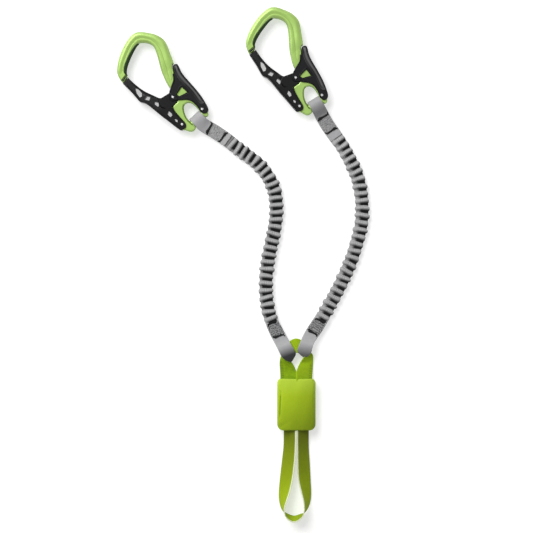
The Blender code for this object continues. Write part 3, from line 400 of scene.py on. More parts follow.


# carabiners keep their CAD bodies, with edges softened by modifiers
# edge is a painted highlight where the metal slopes, and wall is painted shade on upright walls
limeTones = {"face": (0.44, 0.68, 0.16), "edge": (0.66, 0.84, 0.36), "wall": (0.16, 0.32, 0.03)}
limeMetal = anodised("limeMetal", **limeTones)
grooveLime = anodised("grooveLime", **limeTones, groove=(0.17, 0.27, 0.03))
# darker lime copy: painted shade on the eye's rim
rimLime = anodised("rimLime", (0.15, 0.27, 0.03), (0.34, 0.52, 0.12), (0.05, 0.10, 0.01))
# darker lime copy: painted shade along the hook's inner wall
shadedLime = anodised("shadedLime", (0.012, 0.042, 0.001), (0.03, 0.08, 0.004), (0.01, 0.03, 0.001))
gateBlack = blackened("gateBlack", (0.008, 0.008, 0.009), 0.32, 2500.0, 0.00003)
leverBlack = blackened("leverBlack", (0.007, 0.007, 0.009), 0.36, 3400.0, 0.00004)
# the palm's paler ridge is a painted highlight
palmBlack = blackened("palmBlack", (0.010, 0.010, 0.011), 0.36, 3400.0, 0.00004, ridgeHighlight=(0.115, 0.115, 0.118))
rivetSteel = rivetMetal("rivetSteel")
finishes = {"frame": limeMetal, "gate": gateBlack, "palm_lever": leverBlack, "gate_rivet": rivetSteel,
            "lever_rivet": rivetSteel, "link_pin": rivetSteel, "lever_spring": rivetSteel}
softening = {"widths": {"frame": 0.0005, "gate": 0.0004, "palm_lever": 0.0005}, "angle": 28, "weld": 0.00001}
for side in ("left", "right"):
    for part, material in finishes.items():
        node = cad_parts[f"{side}_{part}"]
        for slot in node.material_slots:
            slot.material = material
        weld = node.modifiers.new("weld", "WELD")
        weld.merge_threshold = softening["weld"]
        if part in softening["widths"]:
            soft = node.modifiers.new("softEdges", "BEVEL")
            soft.width = softening["widths"][part]
            soft.segments = 2
            soft.limit_method = "ANGLE"
            soft.angle_limit = math.radians(softening["angle"])
            soft.harden_normals = False
print("carabiner finishes made")

# each carabiner's bar on the picture and its tilt in degrees; the bar's middle on the carabiner's own grid
barPlace = {"left": ((197.9, 119.2), 26.9), "right": ((315.8, 104.2), 15.6)}
barMiddle = (18.2, -2.4)
# heights from the floor to the middle, and from the middle to each face
levels = {"middle": 0.0077, "cheek": 0.0069, "frameFace": 0.0050, "gateTip": 0.0050, "taper": (26.0, 74.0)}


def onCarabiner(side, points, z):
    # millimetres on the carabiner's grid, turned by its tilt about the bar, at height z over the floor
    (x, y), degrees = barPlace[side]
    turn = math.radians(degrees)
    p = (np.asarray(points, float) - barMiddle) * 0.001
    c, d = math.cos(turn), math.sin(turn)
    base = px(x, y)
    flat = np.stack([base[0] + c * p[..., 0] - d * p[..., 1], base[1] + d * p[..., 0] + c * p[..., 1]], -1)
    return np.concatenate([flat, np.broadcast_to(np.asarray(z, float), flat.shape[:-1])[..., None]], -1)


def gateHalf(points):
    # half thickness of the gate: full up to the taper, then thinner towards the nose
    low, high = levels["taper"]
    share = np.clip((np.asarray(points)[..., 1] - low) / (high - low), 0, 1)
    return levels["cheek"] + (levels["gateTip"] - levels["cheek"]) * share


def reliefStrip(name, side, face, body, shape):
    # a low raised strip between two lines: height = lift x profile (from outer to inner) x ends (along them)
    # over its base, with the underside sunk in the face
    across, edgeDip = 13, 0.00015
    count = shape["count"]
    a, _ = smoothLine(shape["outer"], count)
    b, _ = smoothLine(shape["inner"], count)
    t = np.linspace(0, 1, across)
    profile = np.interp(t, np.linspace(0, 1, len(shape["profile"])), shape["profile"])
    flat = a[:, None] * (1 - t)[None, :, None] + b[:, None] * t[None, :, None]
    share = np.linspace(0, 1, count)
    ends = shape.get("ends", ((0, 0), (0.12, 1), (0.88, 1), (1, 0)))
    ends = ease(np.interp(share, *np.array(ends, float).T))[:, None]
    lift = shape["lift"] if face > 0 else shape.get("backLift", shape["lift"])
    rise = shape["base"] - edgeDip + lift * profile[None] * ends
    top = onCarabiner(side, flat, levels["middle"] + face * rise)
    sunk = shape["base"] - shape.get("sink", 0.0005)
    bottom = onCarabiner(side, flat[:, ::-1], levels["middle"] + face * sunk)
    uv = np.zeros((count + 1, 2 * across + 1, 2))
    uv[:-1, :, 0] = share[:, None]
    uv[-1, :, 0] = 1.0
    uv[:, :, 1] = np.concatenate([t, t[::-1], t[:1]])
    return gridPiece(name, np.concatenate([top, bottom], 1), shape["material"], body, uv)


def bead(name, side, face, body, shape):
    # a slim raised rim: a tube 0.75 as high as it is wide, with its middle a quarter radius below the face,
    # and its ends thinner over three points
    sides, flatness, sunkShare, endPoints = 10, 0.75, 0.25, 3.0
    line, closed, radius = np.array(shape["line"], float), shape.get("closed", False), shape["radius"]
    if closed:
        line = np.vstack([line, line[:1]])
    path, _ = smoothLine(line, max(int(len(line) * (10)), 12))
    half = shape["base"](path) if callable(shape["base"]) else np.full(len(path), shape["base"])
    middle = onCarabiner(side, path, levels["middle"] + face * (half - radius * sunkShare))
    way = unit(np.gradient(middle, axis=0))
    across = unit(np.cross(way, [0.0, 0.0, 1.0]))
    angle = np.linspace(0, 2 * math.pi, sides, endpoint=False)
    fromEnd = np.minimum(np.arange(len(path)), np.arange(len(path))[::-1])
    swell = np.ones(len(path)) if closed else ease(fromEnd / endPoints) * 0.9 + 0.1
    ring = (np.cos(angle)[None, :, None] * across[:, None]
            + np.sin(angle)[None, :, None] * np.array([0.0, 0.0, flatness]))
    points = middle[:, None] + (radius * swell)[:, None, None] * ring
    return gridPiece(name, points[:-1] if closed else points, shape["material"], body, closedColumns=closed)


# what each raised shape rides on, and lines in millimetres on the carabiner's grid
onHook = {"body": "carabiner", "slot": "lime_metal", "base": levels["frameFace"]}
onGate = {"body": "gate_body", "slot": "black_metal", "base": gateHalf, "material": gateBlack}
onLever = {"body": "lever_body", "slot": "black_plastic", "base": levels["cheek"], "material": leverBlack}
hookRelief = {
    **onHook, "name": "hook_{}_relief", "material": grooveLime, "lift": 0.0009, "count": 120,
    "profile": (0, 0.6, 0.95, 1.0, 0.92, 0.68, 0.50, 0.64, 0.66, 0.50, 0.0),
    "ends": ((0, 0), (0.05, 0.5), (0.15, 1), (0.76, 1), (0.87, 0.40), (0.96, 0.38), (1, 0)),
    "outer": (
        (-38, 77), (-37.5, 84), (-34.2, 89.6), (-29.6, 95.4), (-23.5, 101.2), (-15.9, 107.1), (-8.8, 111),
        (-1, 113.2), (5.6, 111.1), (11.2, 107.2), (16.3, 103.3), (20.4, 98.5), (23.5, 92.3), (23.8, 86),
        (22.9, 78), (21.9, 69), (20.6, 65), (17.9, 60), (16.4, 55.6), (15, 52), (13.4, 49.2), (11.6, 47),
    ),
    "inner": (
        (-30.9, 79), (-30.1, 81.2), (-26.6, 86.2), (-23, 89.6), (-18, 93.8), (-13.2, 97.6), (-8.8, 100.6),
        (-2, 103.1), (2.2, 101.9), (6.8, 99.1), (9.8, 95.6), (11.3, 92), (11.8, 87.8), (10.8, 81),
        (9.1, 73), (7.6, 66), (6.9, 61), (6.6, 56), (6.9, 51), (7.4, 47), (8, 44.2),
    ),
}
gateOuterRim = {
    **onGate, "name": "gate_{}_rim_0", "radius": 0.00105,
    "line": (
        (-36.2, 67.5), (-33.2, 58.5), (-31.2, 50.6), (-30, 45.8), (-28.6, 43.6), (-25.6, 40.8), (-23.6, 38),
        (-21.6, 34.1), (-19, 28.2), (-15.5, 20.1), (-11.6, 12.2), (-8.5, 5.4), (-5.8, -0.3), (-4.4, -3),
    ),
}
gateInnerRim = {
    **onGate, "name": "gate_{}_rim_1", "radius": 0.00105,
    "line": (
        (-29.6, 69.5), (-28.8, 66.6), (-26.3, 60.4), (-23.4, 54.5), (-20.3, 49.4), (-16.3, 44.3),
        (-13.6, 40.4),
    ),
}
gateLowerRim = {
    **onGate, "name": "gate_{}_rim_2", "radius": 0.00105,
    "line": (
        (-1.6, 22.8), (-1.4, 16.8), (-0.1, 11), (1.3, 5.8), (2.5, 2.4),
    ),
}
leverRim = {
    **onLever, "name": "lever_{}_rim", "radius": 0.00075,
    "line": (
        (16.6, 55), (15.2, 50.6), (13.5, 47.2), (10.2, 44), (6.5, 40.4), (3.7, 37.3), (2.1, 34), (2, 31.1),
        (3.3, 29.4), (6.8, 28.5), (11.4, 26.3), (16.8, 23.1), (21.1, 19.3), (23.3, 14.7), (24.6, 9.7),
        (25.2, 4.9),
    ),
}
leverWindow = {
    **onLever, "name": "lever_{}_window", "radius": 0.0006, "closed": True,
    "line": ((8.0, 32.0), (18.4, 38.4), (22.4, 28.2), (11.2, 28.0)),
}
palmRelief = {
    **onLever, "name": "lever_{}_palm", "material": palmBlack, "lift": 0.0017, "backLift": 0.0006,
    "count": 90, "profile": (0, 0.62, 0.88, 1.0, 0.95, 0.8, 0.5, 0.2, 0.0),
    "outer": (
        (21.2, 62), (24.6, 61.2), (24.9, 55), (25.3, 48.8), (27.1, 40.8), (29, 33.8), (30.6, 27.3),
        (32, 20.9), (32.9, 14), (33.3, 8.6),
    ),
    "inner": (
        (20.4, 61.4), (19.6, 58.6), (18.6, 53), (18.8, 47.4), (20.6, 40.6), (23.4, 33.2), (25.2, 26.6),
        (26.2, 20.6), (27, 14.6), (28.4, 9.6),
    ),
}
# a black plate on the nose: painted shade standing in for the deep slot there
noseSlotShade = {
    "name": "nose_{}_seat", "body": "carabiner", "slot": "black_plastic", "material": leverBlack,
    "base": 0.0046, "lift": 0.0004, "count": 24, "profile": (0.4, 1.0, 1.0, 0.4),
    "outer": ((-37.6, 73.2), (-34.2, 74.9), (-30.8, 76.2)),
    "inner": ((-37.3, 71.9), (-33.9, 73.4), (-30.6, 74.9)),
}
# its darker lime is painted shade on the eye's inner edge
eyeRim = {
    **onHook, "name": "eye_{}_rim", "material": rimLime, "radius": 0.0009,
    "line": ((12.2, 19.4), (9.6, 17.3), (7.6, 12.2), (6.9, 7.0), (7.2, 2.8), (8.6, -2.3), (10.3, -6.4)),
}
# a dark lime strip on the face by the hook's inner edge: painted shade standing in for the inner wall
hookWallShade = {
    **onHook, "name": "hook_{}_wall", "material": shadedLime, "lift": 0.0006, "count": 60,
    "profile": (0.9, 1.0, 0.7, 0.0),
    "outer": (
        (-31, 76.4), (-31.5, 80.9), (-28.1, 86.8), (-21.6, 92.8), (-14.1, 98.2), (-7.3, 101.6),
        (-2.6, 102.4),
    ),
    "inner": (
        (-29.6, 76.2), (-28.9, 79.8), (-25.6, 84.6), (-19.6, 90.4), (-12.7, 95.9), (-6.3, 100.2),
        (-2.3, 101.6),
    ),
}
slotShadeSheet = {   # thin black sheet over the cam slot, between the gate and the lever's cheek: painted shade where the slot shows through
    **onGate, "name": "slot_{}_shield", "base": 0.00529, "sink": 0.00027, "lift": 0.0, "count": 22,
    "profile": (0, 0),
    "outer": (
        (-9.6, 36.4), (-12.4, 33.4), (-13.2, 30.6), (-12.4, 27.6), (-9, 24.2), (-4, 23.4), (0.8, 22.4),
    ),
    "inner": (
        (2.6, 37.4), (3, 34.6), (4.2, 32.4), (5.4, 30.4), (6.4, 28.8), (7.2, 27.2), (6.6, 24.8),
    ),
}
raisedShapes = (hookRelief, gateOuterRim, gateInnerRim, gateLowerRim, leverRim, leverWindow, palmRelief,
                noseSlotShade, eyeRim, hookWallShade, slotShadeSheet)
for side in ("left", "right"):
    for face, tag in ((1, "front"), (-1, "back")):
        for shape in raisedShapes:
            draw = bead if "line" in shape else reliefStrip
            name = f"{side}_" + shape["name"].format(tag)
            piece = draw(name, side, face, f"{side}_{shape['body']}", shape)
            pointUp(piece)
print("carabiners dressed")

# arms: middle lines on the picture, from the bar down to the webbing
armRoutes = {
    "left": (
        (197.9, 119.2), (203.2, 124.4), (209.6, 128.6), (215.9, 132.2), (228.1, 140.6), (234.9, 146.1),
        (246.3, 154.7), (257.9, 163.8), (266.2, 173.6), (272.9, 186.2), (275.9, 199.5), (276.3, 212.8),
        (274.9, 226.5), (272, 241), (268.9, 255.9), (266.7, 270.8), (265.9, 284.6), (266.6, 299),
        (268.9, 312.6), (272.9, 323.4), (277.7, 333.2), (281.6, 341.6), (284.4, 348.9), (287.6, 353.2),
    ),
    "right": (
        (315.8, 104.2), (319.6, 111), (323.4, 117.8), (327.6, 124.9), (334.8, 135.2), (341.2, 144.2),
        (347.2, 154.3), (352.4, 164.7), (357.2, 176), (360.5, 189.6), (362.1, 203.5), (362.1, 216.6),
        (360.4, 229.4), (357.4, 241), (353.9, 252.6), (349.7, 264.2), (344.9, 275.4), (339.7, 286.2),
        (334, 297), (328.3, 307.4), (322.6, 317.4), (316.4, 328), (310.9, 340.2), (305.6, 350.8),
    ),
}
barSlope = 16.1   # degrees from the carabiner's own grid to its bar
heights = {"bar": 0.0077, "lowerEye": 0.006138, "sleeve": 0.0046}
dropShare = 0.8   # share of a tape's length over which its middle comes to the sleeve's height
sleeve = {
    "width": 0.0168, "thickness": 0.0092, "pitch": 0.0080, "upperEnd": 0.0440, "lowerEnd": 0.0381,
    "valleyWidth": 0.0140, "valleyThickness": 0.0030, "valleyShare": 0.42,
    "startWidth": 0.0152, "endWidth": 0.0140, "startThickness": 0.0050,
    "sizeChange": (-0.07, 0.05), "lean": 0.0010, "wobble": 0.0003, "girth": 0.042,
    "crest": (0.85, 2.3, 0.55), "endRibs": 1.6, "endSwell": 0.35, "corners": (0.6, 0.66), "wave": (2.2, 1.7),
}
upperEye = {
    "foldRadius": 0.0051, "tape": 0.0014, "lengths": {"left": 0.0412, "right": 0.0440}, "loop": 0.015,
    "sewn": 0.0046, "foldWidth": 0.0146, "width": 0.0156, "turnShare": 0.35,
    "tacks": {"left": (0.0164, 0.0342), "right": (0.0164, 0.0342)}, "tackWidth": 0.90,
}
# lower tapes: left and right edge of the upper layer, from the sleeve down to the tip of the fold
lowerEye = {
    "foldRadius": 0.004738, "tape": 0.0014, "loop": 0.014, "sewn": 0.0046,
    "tacks": {"left": (0.0315, 0.0478), "right": (0.0295, 0.0452)}, "tackWidth": 0.78,
    "tipReach": 0.0095, "bends": (0.0060, 0.0270),
    "left": (
        ((263.7, 319.2), (275.9, 314.5)), ((265.2, 322.9), (277.2, 318)), ((269.8, 334), (282.6, 328.6)),
        ((274.1, 342.2), (287.4, 337.4)), ((278.6, 350.8), (291.8, 345.4)),
        ((280.9, 355.4), (294.9, 350.4)), ((283.6, 358.8), (295.8, 354.2)),
        ((287.6, 361.2), (294.2, 357.6)), ((290.6, 361.9), (292.2, 360.6)),
    ),
    "right": (
        ((317.6, 311.9), (329.8, 318.6)), ((315.2, 316.1), (327.6, 322.4)), ((310.2, 323.9), (322.4, 331)),
        ((304.9, 332), (317.6, 338)), ((301.2, 339.8), (314, 343.4)), ((298.2, 347), (312.3, 348.4)),
        ((297.2, 350.8), (311.2, 352.4)), ((299.8, 354.4), (308.8, 355.6)),
        ((303.2, 356.9), (305.6, 357.3)),
    ),
}


def sewnField(made, u, low, high):
    # distance from the fold at u = 0; 1 between the tacks, where low < |u| < high; sharpened noise specks
    far = u.abs()
    sewn = ((far - low) * 900.0).clip() * ((high - far) * 900.0).clip()
    specks = ((made.noise(720.0) - 0.47) * 8.0).clip()
    return far, sewn, specks


def foldShade(reach, strength, low, high):
    # lower tape: painted shade towards the fold, and a darker, speckled tone between the tacks
    def shade(made, u, v, colour):
        far, sewn, specks = sewnField(made, u, low, high)
        # painted shade, strongest at the fold
        near = ((reach - far) / 0.013).clip()
        colour = made.mix(sewn * (specks * 0.75 + 0.14), colour, (0.045, 0.045, 0.045))
        return made.mix(near * strength, colour, (0.02, 0.02, 0.024))
    return shade


def sewnShade(dusk, grain):
    # upper tape: duller up to the first tack by dusk, and speckled between the tacks by grain
    low, high = 0.0255, 0.0433

    def shade(made, u, v, colour):
        far, sewn, specks = sewnField(made, u, low, high)
        colour = made.mix(sewn * (specks * grain + 0.06), colour, (0.05, 0.05, 0.05))
        near = ((low - far) * 200.0 + 0.5).clip() * ((far - 0.0065) * 90.0).clip()
        return made.mix(near * dusk, colour, (0.06, 0.06, 0.065))
    return shade


tapeLooks = {   # light tone, dark tone and shade
    "leftUpper": ((0.56, 0.56, 0.57), (0.30, 0.30, 0.305), sewnShade(0.10, 0.30)),
    "rightUpper": ((0.50, 0.50, 0.51), (0.27, 0.27, 0.275), sewnShade(0.55, 0.42)),
    "leftFold": ((0.54, 0.54, 0.55), (0.30, 0.30, 0.305), foldShade(0.0225, 0.96, 0.0335, 0.0502)),
    "rightFold": ((0.54, 0.54, 0.55), (0.30, 0.30, 0.305), foldShade(0.0185, 0.72, 0.0315, 0.0474)),
}
tapeCloth = {name: wovenCloth(f"{name}Tape", light, dark, 0.00085, shade=shade)
             for name, (light, dark, shade) in tapeLooks.items()}
ribTape = wovenCloth("ribTape", (0.34, 0.34, 0.34), (0.15, 0.15, 0.15), 0.0008)
ribCloth = {"left": ribbedCloth("leftRibCloth", sleeve["pitch"], 0.0125, 0.60),
            "right": ribbedCloth("rightRibCloth", sleeve["pitch"], 0.0108, 0.80)}
threadTones = {"blackThread": 0.02, "darkThread": 0.07, "paleThread": 0.34, "greyThread": 0.16}
blackThread, darkThread, paleThread, greyThread = (
    blackened(name, (tone, tone, tone), 0.8, 5000.0, 0.00005) for name, tone in threadTones.items())


class Route:
    # the arm's middle line on the floor, read at any distance and straight on past both ends
    def __init__(self, side):
        self.points, self.along = smoothLine([px(*p) for p in armRoutes[side]], 1600)
        self.length = self.along[-1]

    def at(self, s):
        # the line itself between its ends, and before and after it the end's point + distance x direction
        s = np.asarray(s, float)
        inside = readAt(s, self.along, self.points)
        startWay, endWay = unit(self.points[0] - self.points[4]), unit(self.points[-1] - self.points[-5])
        before, after = np.where(s < 0, -s, 0), np.where(s > self.length, s - self.length, 0)
        return inside + before[..., None] * startWay + after[..., None] * endWay

    def sideways(self, s):
        # the level direction square to the line
        way = unit(self.at(np.asarray(s) + 0.0004) - self.at(np.asarray(s) - 0.0004))
        return np.stack([-way[..., 1], way[..., 0], np.zeros_like(way[..., 0])], -1)


def armSleeve(side, route):
    # ribs: a rounded crest between narrow deep valleys; each rib leans and differs a little in size
    s0, s1 = sleeve["upperEnd"], route.length - sleeve["lowerEnd"]
    ribs = round((s1 - s0) / sleeve["pitch"])
    pitch = (s1 - s0) / ribs
    s = np.linspace(s0, s1, ribs * 26 + 1)
    phase = (s - s0) / pitch
    number = np.clip(np.floor(phase).astype(int), 0, ribs - 1)
    within = phase - number
    size = 1 + rng.uniform(*sleeve["sizeChange"], ribs)[number]
    lean = rng.uniform(-sleeve["lean"], sleeve["lean"], ribs + 1)

    # swell goes from 0 in a valley to 1 on a crest, and width and thickness follow it
    rib = np.clip((within - sleeve["valleyShare"] / 2) / (1 - sleeve["valleyShare"]), 0, 1)
    skew, steep, full = sleeve["crest"]
    swell = (1 - np.abs(2 * rib ** skew - 1) ** steep) ** full
    ends = ease(np.minimum(phase, ribs - phase) / sleeve["endRibs"])
    swell = swell * (sleeve["endSwell"] + (1 - sleeve["endSwell"]) * ends)
    endWidth = np.where(phase < ribs / 2, sleeve["startWidth"], sleeve["endWidth"])
    lowWidth = endWidth + (sleeve["valleyWidth"] - endWidth) * ends
    lowThick = sleeve["startThickness"] + (sleeve["valleyThickness"] - sleeve["startThickness"]) * ends
    width = lowWidth + (sleeve["width"] * size - lowWidth) * swell
    thick = lowThick + (sleeve["thickness"] * np.minimum(size, 1) - lowThick) * swell

    # the section is a rounded oblong, and each rib is shifted along the arm by its lean and a small wave
    around = 48
    angle = np.linspace(0, 2 * math.pi, around, endpoint=False)
    across, rise = (np.sign(wave) * np.abs(wave) ** corner
                    for wave, corner in zip((np.cos(angle), np.sin(angle)), sleeve["corners"]))
    tilt = np.interp(phase, np.arange(ribs + 1), lean)
    fade = np.clip(np.minimum(phase, ribs - phase), 0, 1)
    overWidth, overRibs = sleeve["wave"]
    wobble = np.sin(overWidth * across[None] + number[:, None] * overRibs) * sleeve["wobble"]
    shift = (tilt * fade)[:, None] * across[None] + fade[:, None] * wobble
    place = route.at(np.clip(s[:, None] + shift, s0, s1))
    points = place + (width[:, None] / 2 * across)[..., None] * route.sideways(s)[:, None]
    points[..., 2] = np.maximum(heights["sleeve"] + thick[:, None] / 2 * rise, 0.00005)
    uv = np.zeros((len(s) + 1, around + 1, 2))
    uv[:-1, :, 0] = (phase * sleeve["pitch"])[:, None]
    uv[-1, :, 0] = ribs * sleeve["pitch"]
    uv[:, :, 1] = np.linspace(0, sleeve["girth"], around + 1)
    piece = pointUp(gridPiece(f"{side}_ribbed_sleeve", points, ribCloth[side], f"{side}_arm", uv))
    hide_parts(f"{side}_arm_sleeve", f"{side}_arm_elastic")


def tongue(side, where, eye, s, spine, across, level, width):
    # the arm's own flattened end between the two layers of a tape
    core = spine(s)
    core[:, 2] = level(s)
    inner = strap(f"{side}_{where}_tongue", core, across(s), width, eye["sewn"] - 2 * eye["tape"] + 0.0001,
                  ribTape, f"{side}_arm")


def faceOf(spine, across, width, height):
    # gives points on a tape's upper layer: s along it, t from -1 to 1 across it, lift above it
    def face(s, t, lift):
        s, t = np.broadcast_arrays(np.asarray(s, float), np.asarray(t, float))
        base = spine(s) + across(s) * (t * width(s) / 2)[:, None]
        base[:, 2] = height(s) + lift
        return base
    return face


def upperTape(side, route):
    # out along the top from the sleeve, round the fold on the bar, and back along the bottom; it starts
    # square to the bar and eases into the arm's line
    eye, start = upperEye, heights["bar"]
    length = eye["lengths"][side]
    degrees = barSlope + barPlace[side][1]
    axis = np.array([math.cos(math.radians(degrees)), math.sin(math.radians(degrees)), 0.0])
    reach = length * eye["turnShare"]
    origin = route.at(0.0)
    square = np.array([-axis[1], axis[0], 0.0])
    if square @ (route.at(reach) - origin) < 0:
        square = -square

    def spine(s):
        # middle line: square to the bar at s = 0, on the arm's line from s = reach, and a mix between them
        share = ease(s / reach)[:, None]
        return (origin + square * s[:, None]) * (1 - share) + route.at(np.maximum(s, 0)) * share

    def across(s):
        # along the bar at s = 0, square to the arm's line from s = reach, and a mix between them
        sides = route.sideways(np.maximum(s, 0))
        sides = sides * np.sign(sides @ axis)[:, None]
        share = ease(s / reach)[:, None]
        return unit(axis * (1 - share) + sides * share)

    def level(s):
        # middle height, from the bar's to the sleeve's
        return start + (heights["sleeve"] - start) * ease(s / (length * dropShare))

    def half(s):
        # distance of each layer from the middle level, closing from the fold to the sewn part
        return middle + (sewnHalf - middle) * ease(s / eye["loop"])

    middle = eye["foldRadius"] + eye["tape"] / 2
    sewnHalf = (eye["sewn"] - eye["tape"]) / 2
    run = np.linspace(length, 0, 46)
    bend = np.linspace(math.pi / 2, -math.pi / 2, 21)[1:-1]
    back = run[::-1]
    s = np.concatenate([run, -np.cos(bend) * middle, back])
    centres = spine(s)
    centres[:, 2] = np.concatenate([level(run) + half(run), start + np.sin(bend) * middle,
                                    level(back) - half(back)])
    width = eye["foldWidth"] + (eye["width"] - eye["foldWidth"]) * ease(s / reach)
    piece = strap(f"{side}_upper_tape", centres, across(s), width, eye["tape"],
                  tapeCloth[f"{side}Upper"], f"{side}_arm", centred=True)
    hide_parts(f"{side}_carabiner_eye")
    s = np.linspace(eye["loop"] * 0.9, sleeve["upperEnd"] + 0.0012, 30)
    tongue(side, "upper", eye, s, spine, across, level, eye["width"] * 0.97)

    def height(s):
        # top of the upper layer: middle height + half the fold's thickness, easing to half the sewn one
        sewn, fold = eye["sewn"] / 2, eye["foldRadius"] + eye["tape"]
        return level(s) + fold + (sewn - fold) * ease(s / eye["loop"])

    return faceOf(spine, across, lambda s: eye["width"], height)


def lowerTape(side):
    # the given edges, read by distance s from the tip: middle, side, width and height of the two layers
    eye, start = lowerEye, heights["lowerEye"]
    edges = [np.concatenate([px(*left), px(*right)]) for left, right in eye[side]]
    both, _ = smoothLine(edges[::-1], 400)
    left, right = both[:, :3], both[:, 3:]
    middle = (left + right) / 2
    along = lengthAlong(middle)
    outer = eye["foldRadius"] + eye["tape"] / 2
    sewn = (eye["sewn"] - eye["tape"]) / 2

    # at distance s: the middle, the direction across, the width and the middle height
    def spine(s):
        return readAt(s, along, middle)

    def across(s):
        return unit(readAt(s, along, right - left))

    def width(s):
        return np.linalg.norm(readAt(s, along, right - left), axis=-1)

    def level(s):
        return start + (heights["sleeve"] - start) * ease(s / (along[-1] * dropShare))

    def half(s):
        # distance of each layer from the middle level: round at the tip, then closing to the sewn part
        bend = np.sqrt(np.clip(1 - (1 - np.clip(s / eye["tipReach"], 0, 1)) ** 2, 0, 1))
        return bend * (outer + (sewn - outer) * ease((s - eye["tipReach"]) / (eye["loop"] * 1.2)))

    turn = np.linspace(0, math.pi / 2, 22)[:-1]
    down = np.concatenate([eye["tipReach"] * (1 - np.cos(turn)), np.linspace(eye["tipReach"], along[-1], 60)])
    s = np.concatenate([down[::-1], down[1:]])
    centres = spine(s)
    centres[:, 2] = level(s) + np.concatenate([half(down)[::-1], -half(down)[1:]])
    centres[:, 2] = np.maximum(centres[:, 2], eye["tape"] / 2 + 0.0001)

    # the whole tape is one piece on no body, with its place baked into its mesh
    piece = strap(f"{side}_lower_tape", centres, across(s), width(s), eye["tape"],
                  tapeCloth[f"{side}Fold"], None, centred=True)
    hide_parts(f"{side}_loop_eye")
    near, far = (point + [0, 0, heights["lowerEye"]] for point in spine(np.array(eye["bends"])))
    tuple(map(float, near))
    tuple(map(float, far))
    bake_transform(piece)
    s = np.linspace(eye["bends"][1], along[-1], 24)
    tongue(side, "lower", eye, s, spine, across, level, width(s) * 0.96)
    return faceOf(spine, across, width, lambda s: level(s) + half(s) + eye["tape"] / 2)


def threadTube(path, up, radius, sides=6):
    # a thin tube carried along the path, as a grid of points
    way = unit(np.gradient(path, axis=0))
    first = unit(np.cross(way, up))
    second = np.cross(first, way)
    angle = np.linspace(0, 2 * math.pi, sides, endpoint=False)
    return path[:, None] + radius * (np.cos(angle)[None, :, None] * first[:, None]
                                     + np.sin(angle)[None, :, None] * second[:, None])


tack = {"radius": 0.00068, "waves": 8, "swing": 0.00085, "points": 110, "hooks": (0.0016, 0.0012),
        "hookReach": 0.12, "spread": 0.9, "spreadPlace": 0.55, "spreadReach": 0.28, "lift": 0.4}


def bartack(name, face, s, reach, body, mirror=1):
    # dense zigzag across the tape with a hook at each end and a doubled middle
    t = np.linspace(-reach, reach, tack["points"])
    phase = np.linspace(0, tack["waves"], tack["points"])
    wave = 2 * np.abs(2 * (phase - np.floor(phase + 0.5))) - 1
    first, second = tack["hooks"]
    hook = (first * np.exp(-((t - reach) / tack["hookReach"]) ** 2)
            - second * np.exp(-((t + reach) / tack["hookReach"]) ** 2))
    place = tack["spreadPlace"] * mirror * reach
    spread = 1 + tack["spread"] * np.exp(-((t - place) / tack["spreadReach"]) ** 2)
    path = face(s + wave * tack["swing"] * spread + hook * mirror, t, tack["radius"] * tack["lift"])
    tube = threadTube(path, np.array([0.0, 0.0, 1.0]), tack["radius"])
    piece = pointUp(gridPiece(name, tube, blackThread, body))


stitch = {"dash": 0.0016, "gap": 0.0011, "radius": 0.00022, "points": 7, "sides": 5, "arch": 1.1, "sunk": 0.5}


def stitchRows(name, face, lines, body, material):
    # rows of short stitches; each stitch is a small arched tube, and all of them are one mesh
    up = np.array([0.0, 0.0, 1.0])
    rows, cols = stitch["points"], stitch["sides"]
    _, _, quads, ends = gridFaces(rows, cols)
    share = stitch["dash"] / (stitch["dash"] + stitch["gap"])
    radius = stitch["radius"]
    arch = np.sin(np.linspace(0, math.pi, rows)) * radius * stitch["arch"] - radius * stitch["sunk"]
    points, faces, count = [], [], 0
    for s0, s1, t0, t1, length in lines:
        number = max(int(length / (stitch["dash"] + stitch["gap"])), 1)
        for k in range(number):
            part = (k + np.linspace(0, share, rows)) / number
            path = face(s0 + (s1 - s0) * part, t0 + (t1 - t0) * part, 0.0)
            path[:, 2] += arch
            points.append(threadTube(path, up, radius, cols).reshape(-1, 3))
            faces += (quads + count).tolist() + (ends + count).tolist()
            count += rows * cols
    piece = pointUp(linkedPiece(name, np.concatenate(points), faces, material, body))


# the sewn box between the tacks: its edge lines, its two diagonals and the rows that fill it
sewing = {"edge": 0.80, "diagonal": 0.9, "diagonalInset": 0.002, "fillInset": (0.0016, 0.0014),
          "fillRows": 9, "fillReach": 0.68}
for side in ("left", "right"):
    route = Route(side)
    body = f"{side}_arm"
    armSleeve(side, route)
    for where, eye, filling in (("upper", upperEye, paleThread), ("lower", lowerEye, darkThread)):
        face = upperTape(side, route) if where == "upper" else lowerTape(side)
        low, high = eye["tacks"][side]
        for number, s in enumerate(eye["tacks"][side]):
            bartack(f"{side}_{where}_tack_{number}", face, s, eye["tackWidth"], body, 1 if number else -1)
        span, edge = high - low, sewing["edge"]
        inset, corner = sewing["diagonalInset"], edge * sewing["diagonal"]
        box = [(low, high, edge, edge, span), (low, high, -edge, -edge, span),
               (low + inset, high - inset, -corner, corner, span),
               (low + inset, high - inset, corner, -corner, span)]
        stitchRows(f"{side}_{where}_box_stitch", face, box, body, greyThread)
        first, last = low + sewing["fillInset"][0], high - sewing["fillInset"][1]
        places = np.linspace(-sewing["fillReach"], sewing["fillReach"], sewing["fillRows"])
        rows = [(first, last, t, t, span) for t in places]
        stitchRows(f"{side}_{where}_filling_stitch", face, rows, body, filling)
print("arms made")

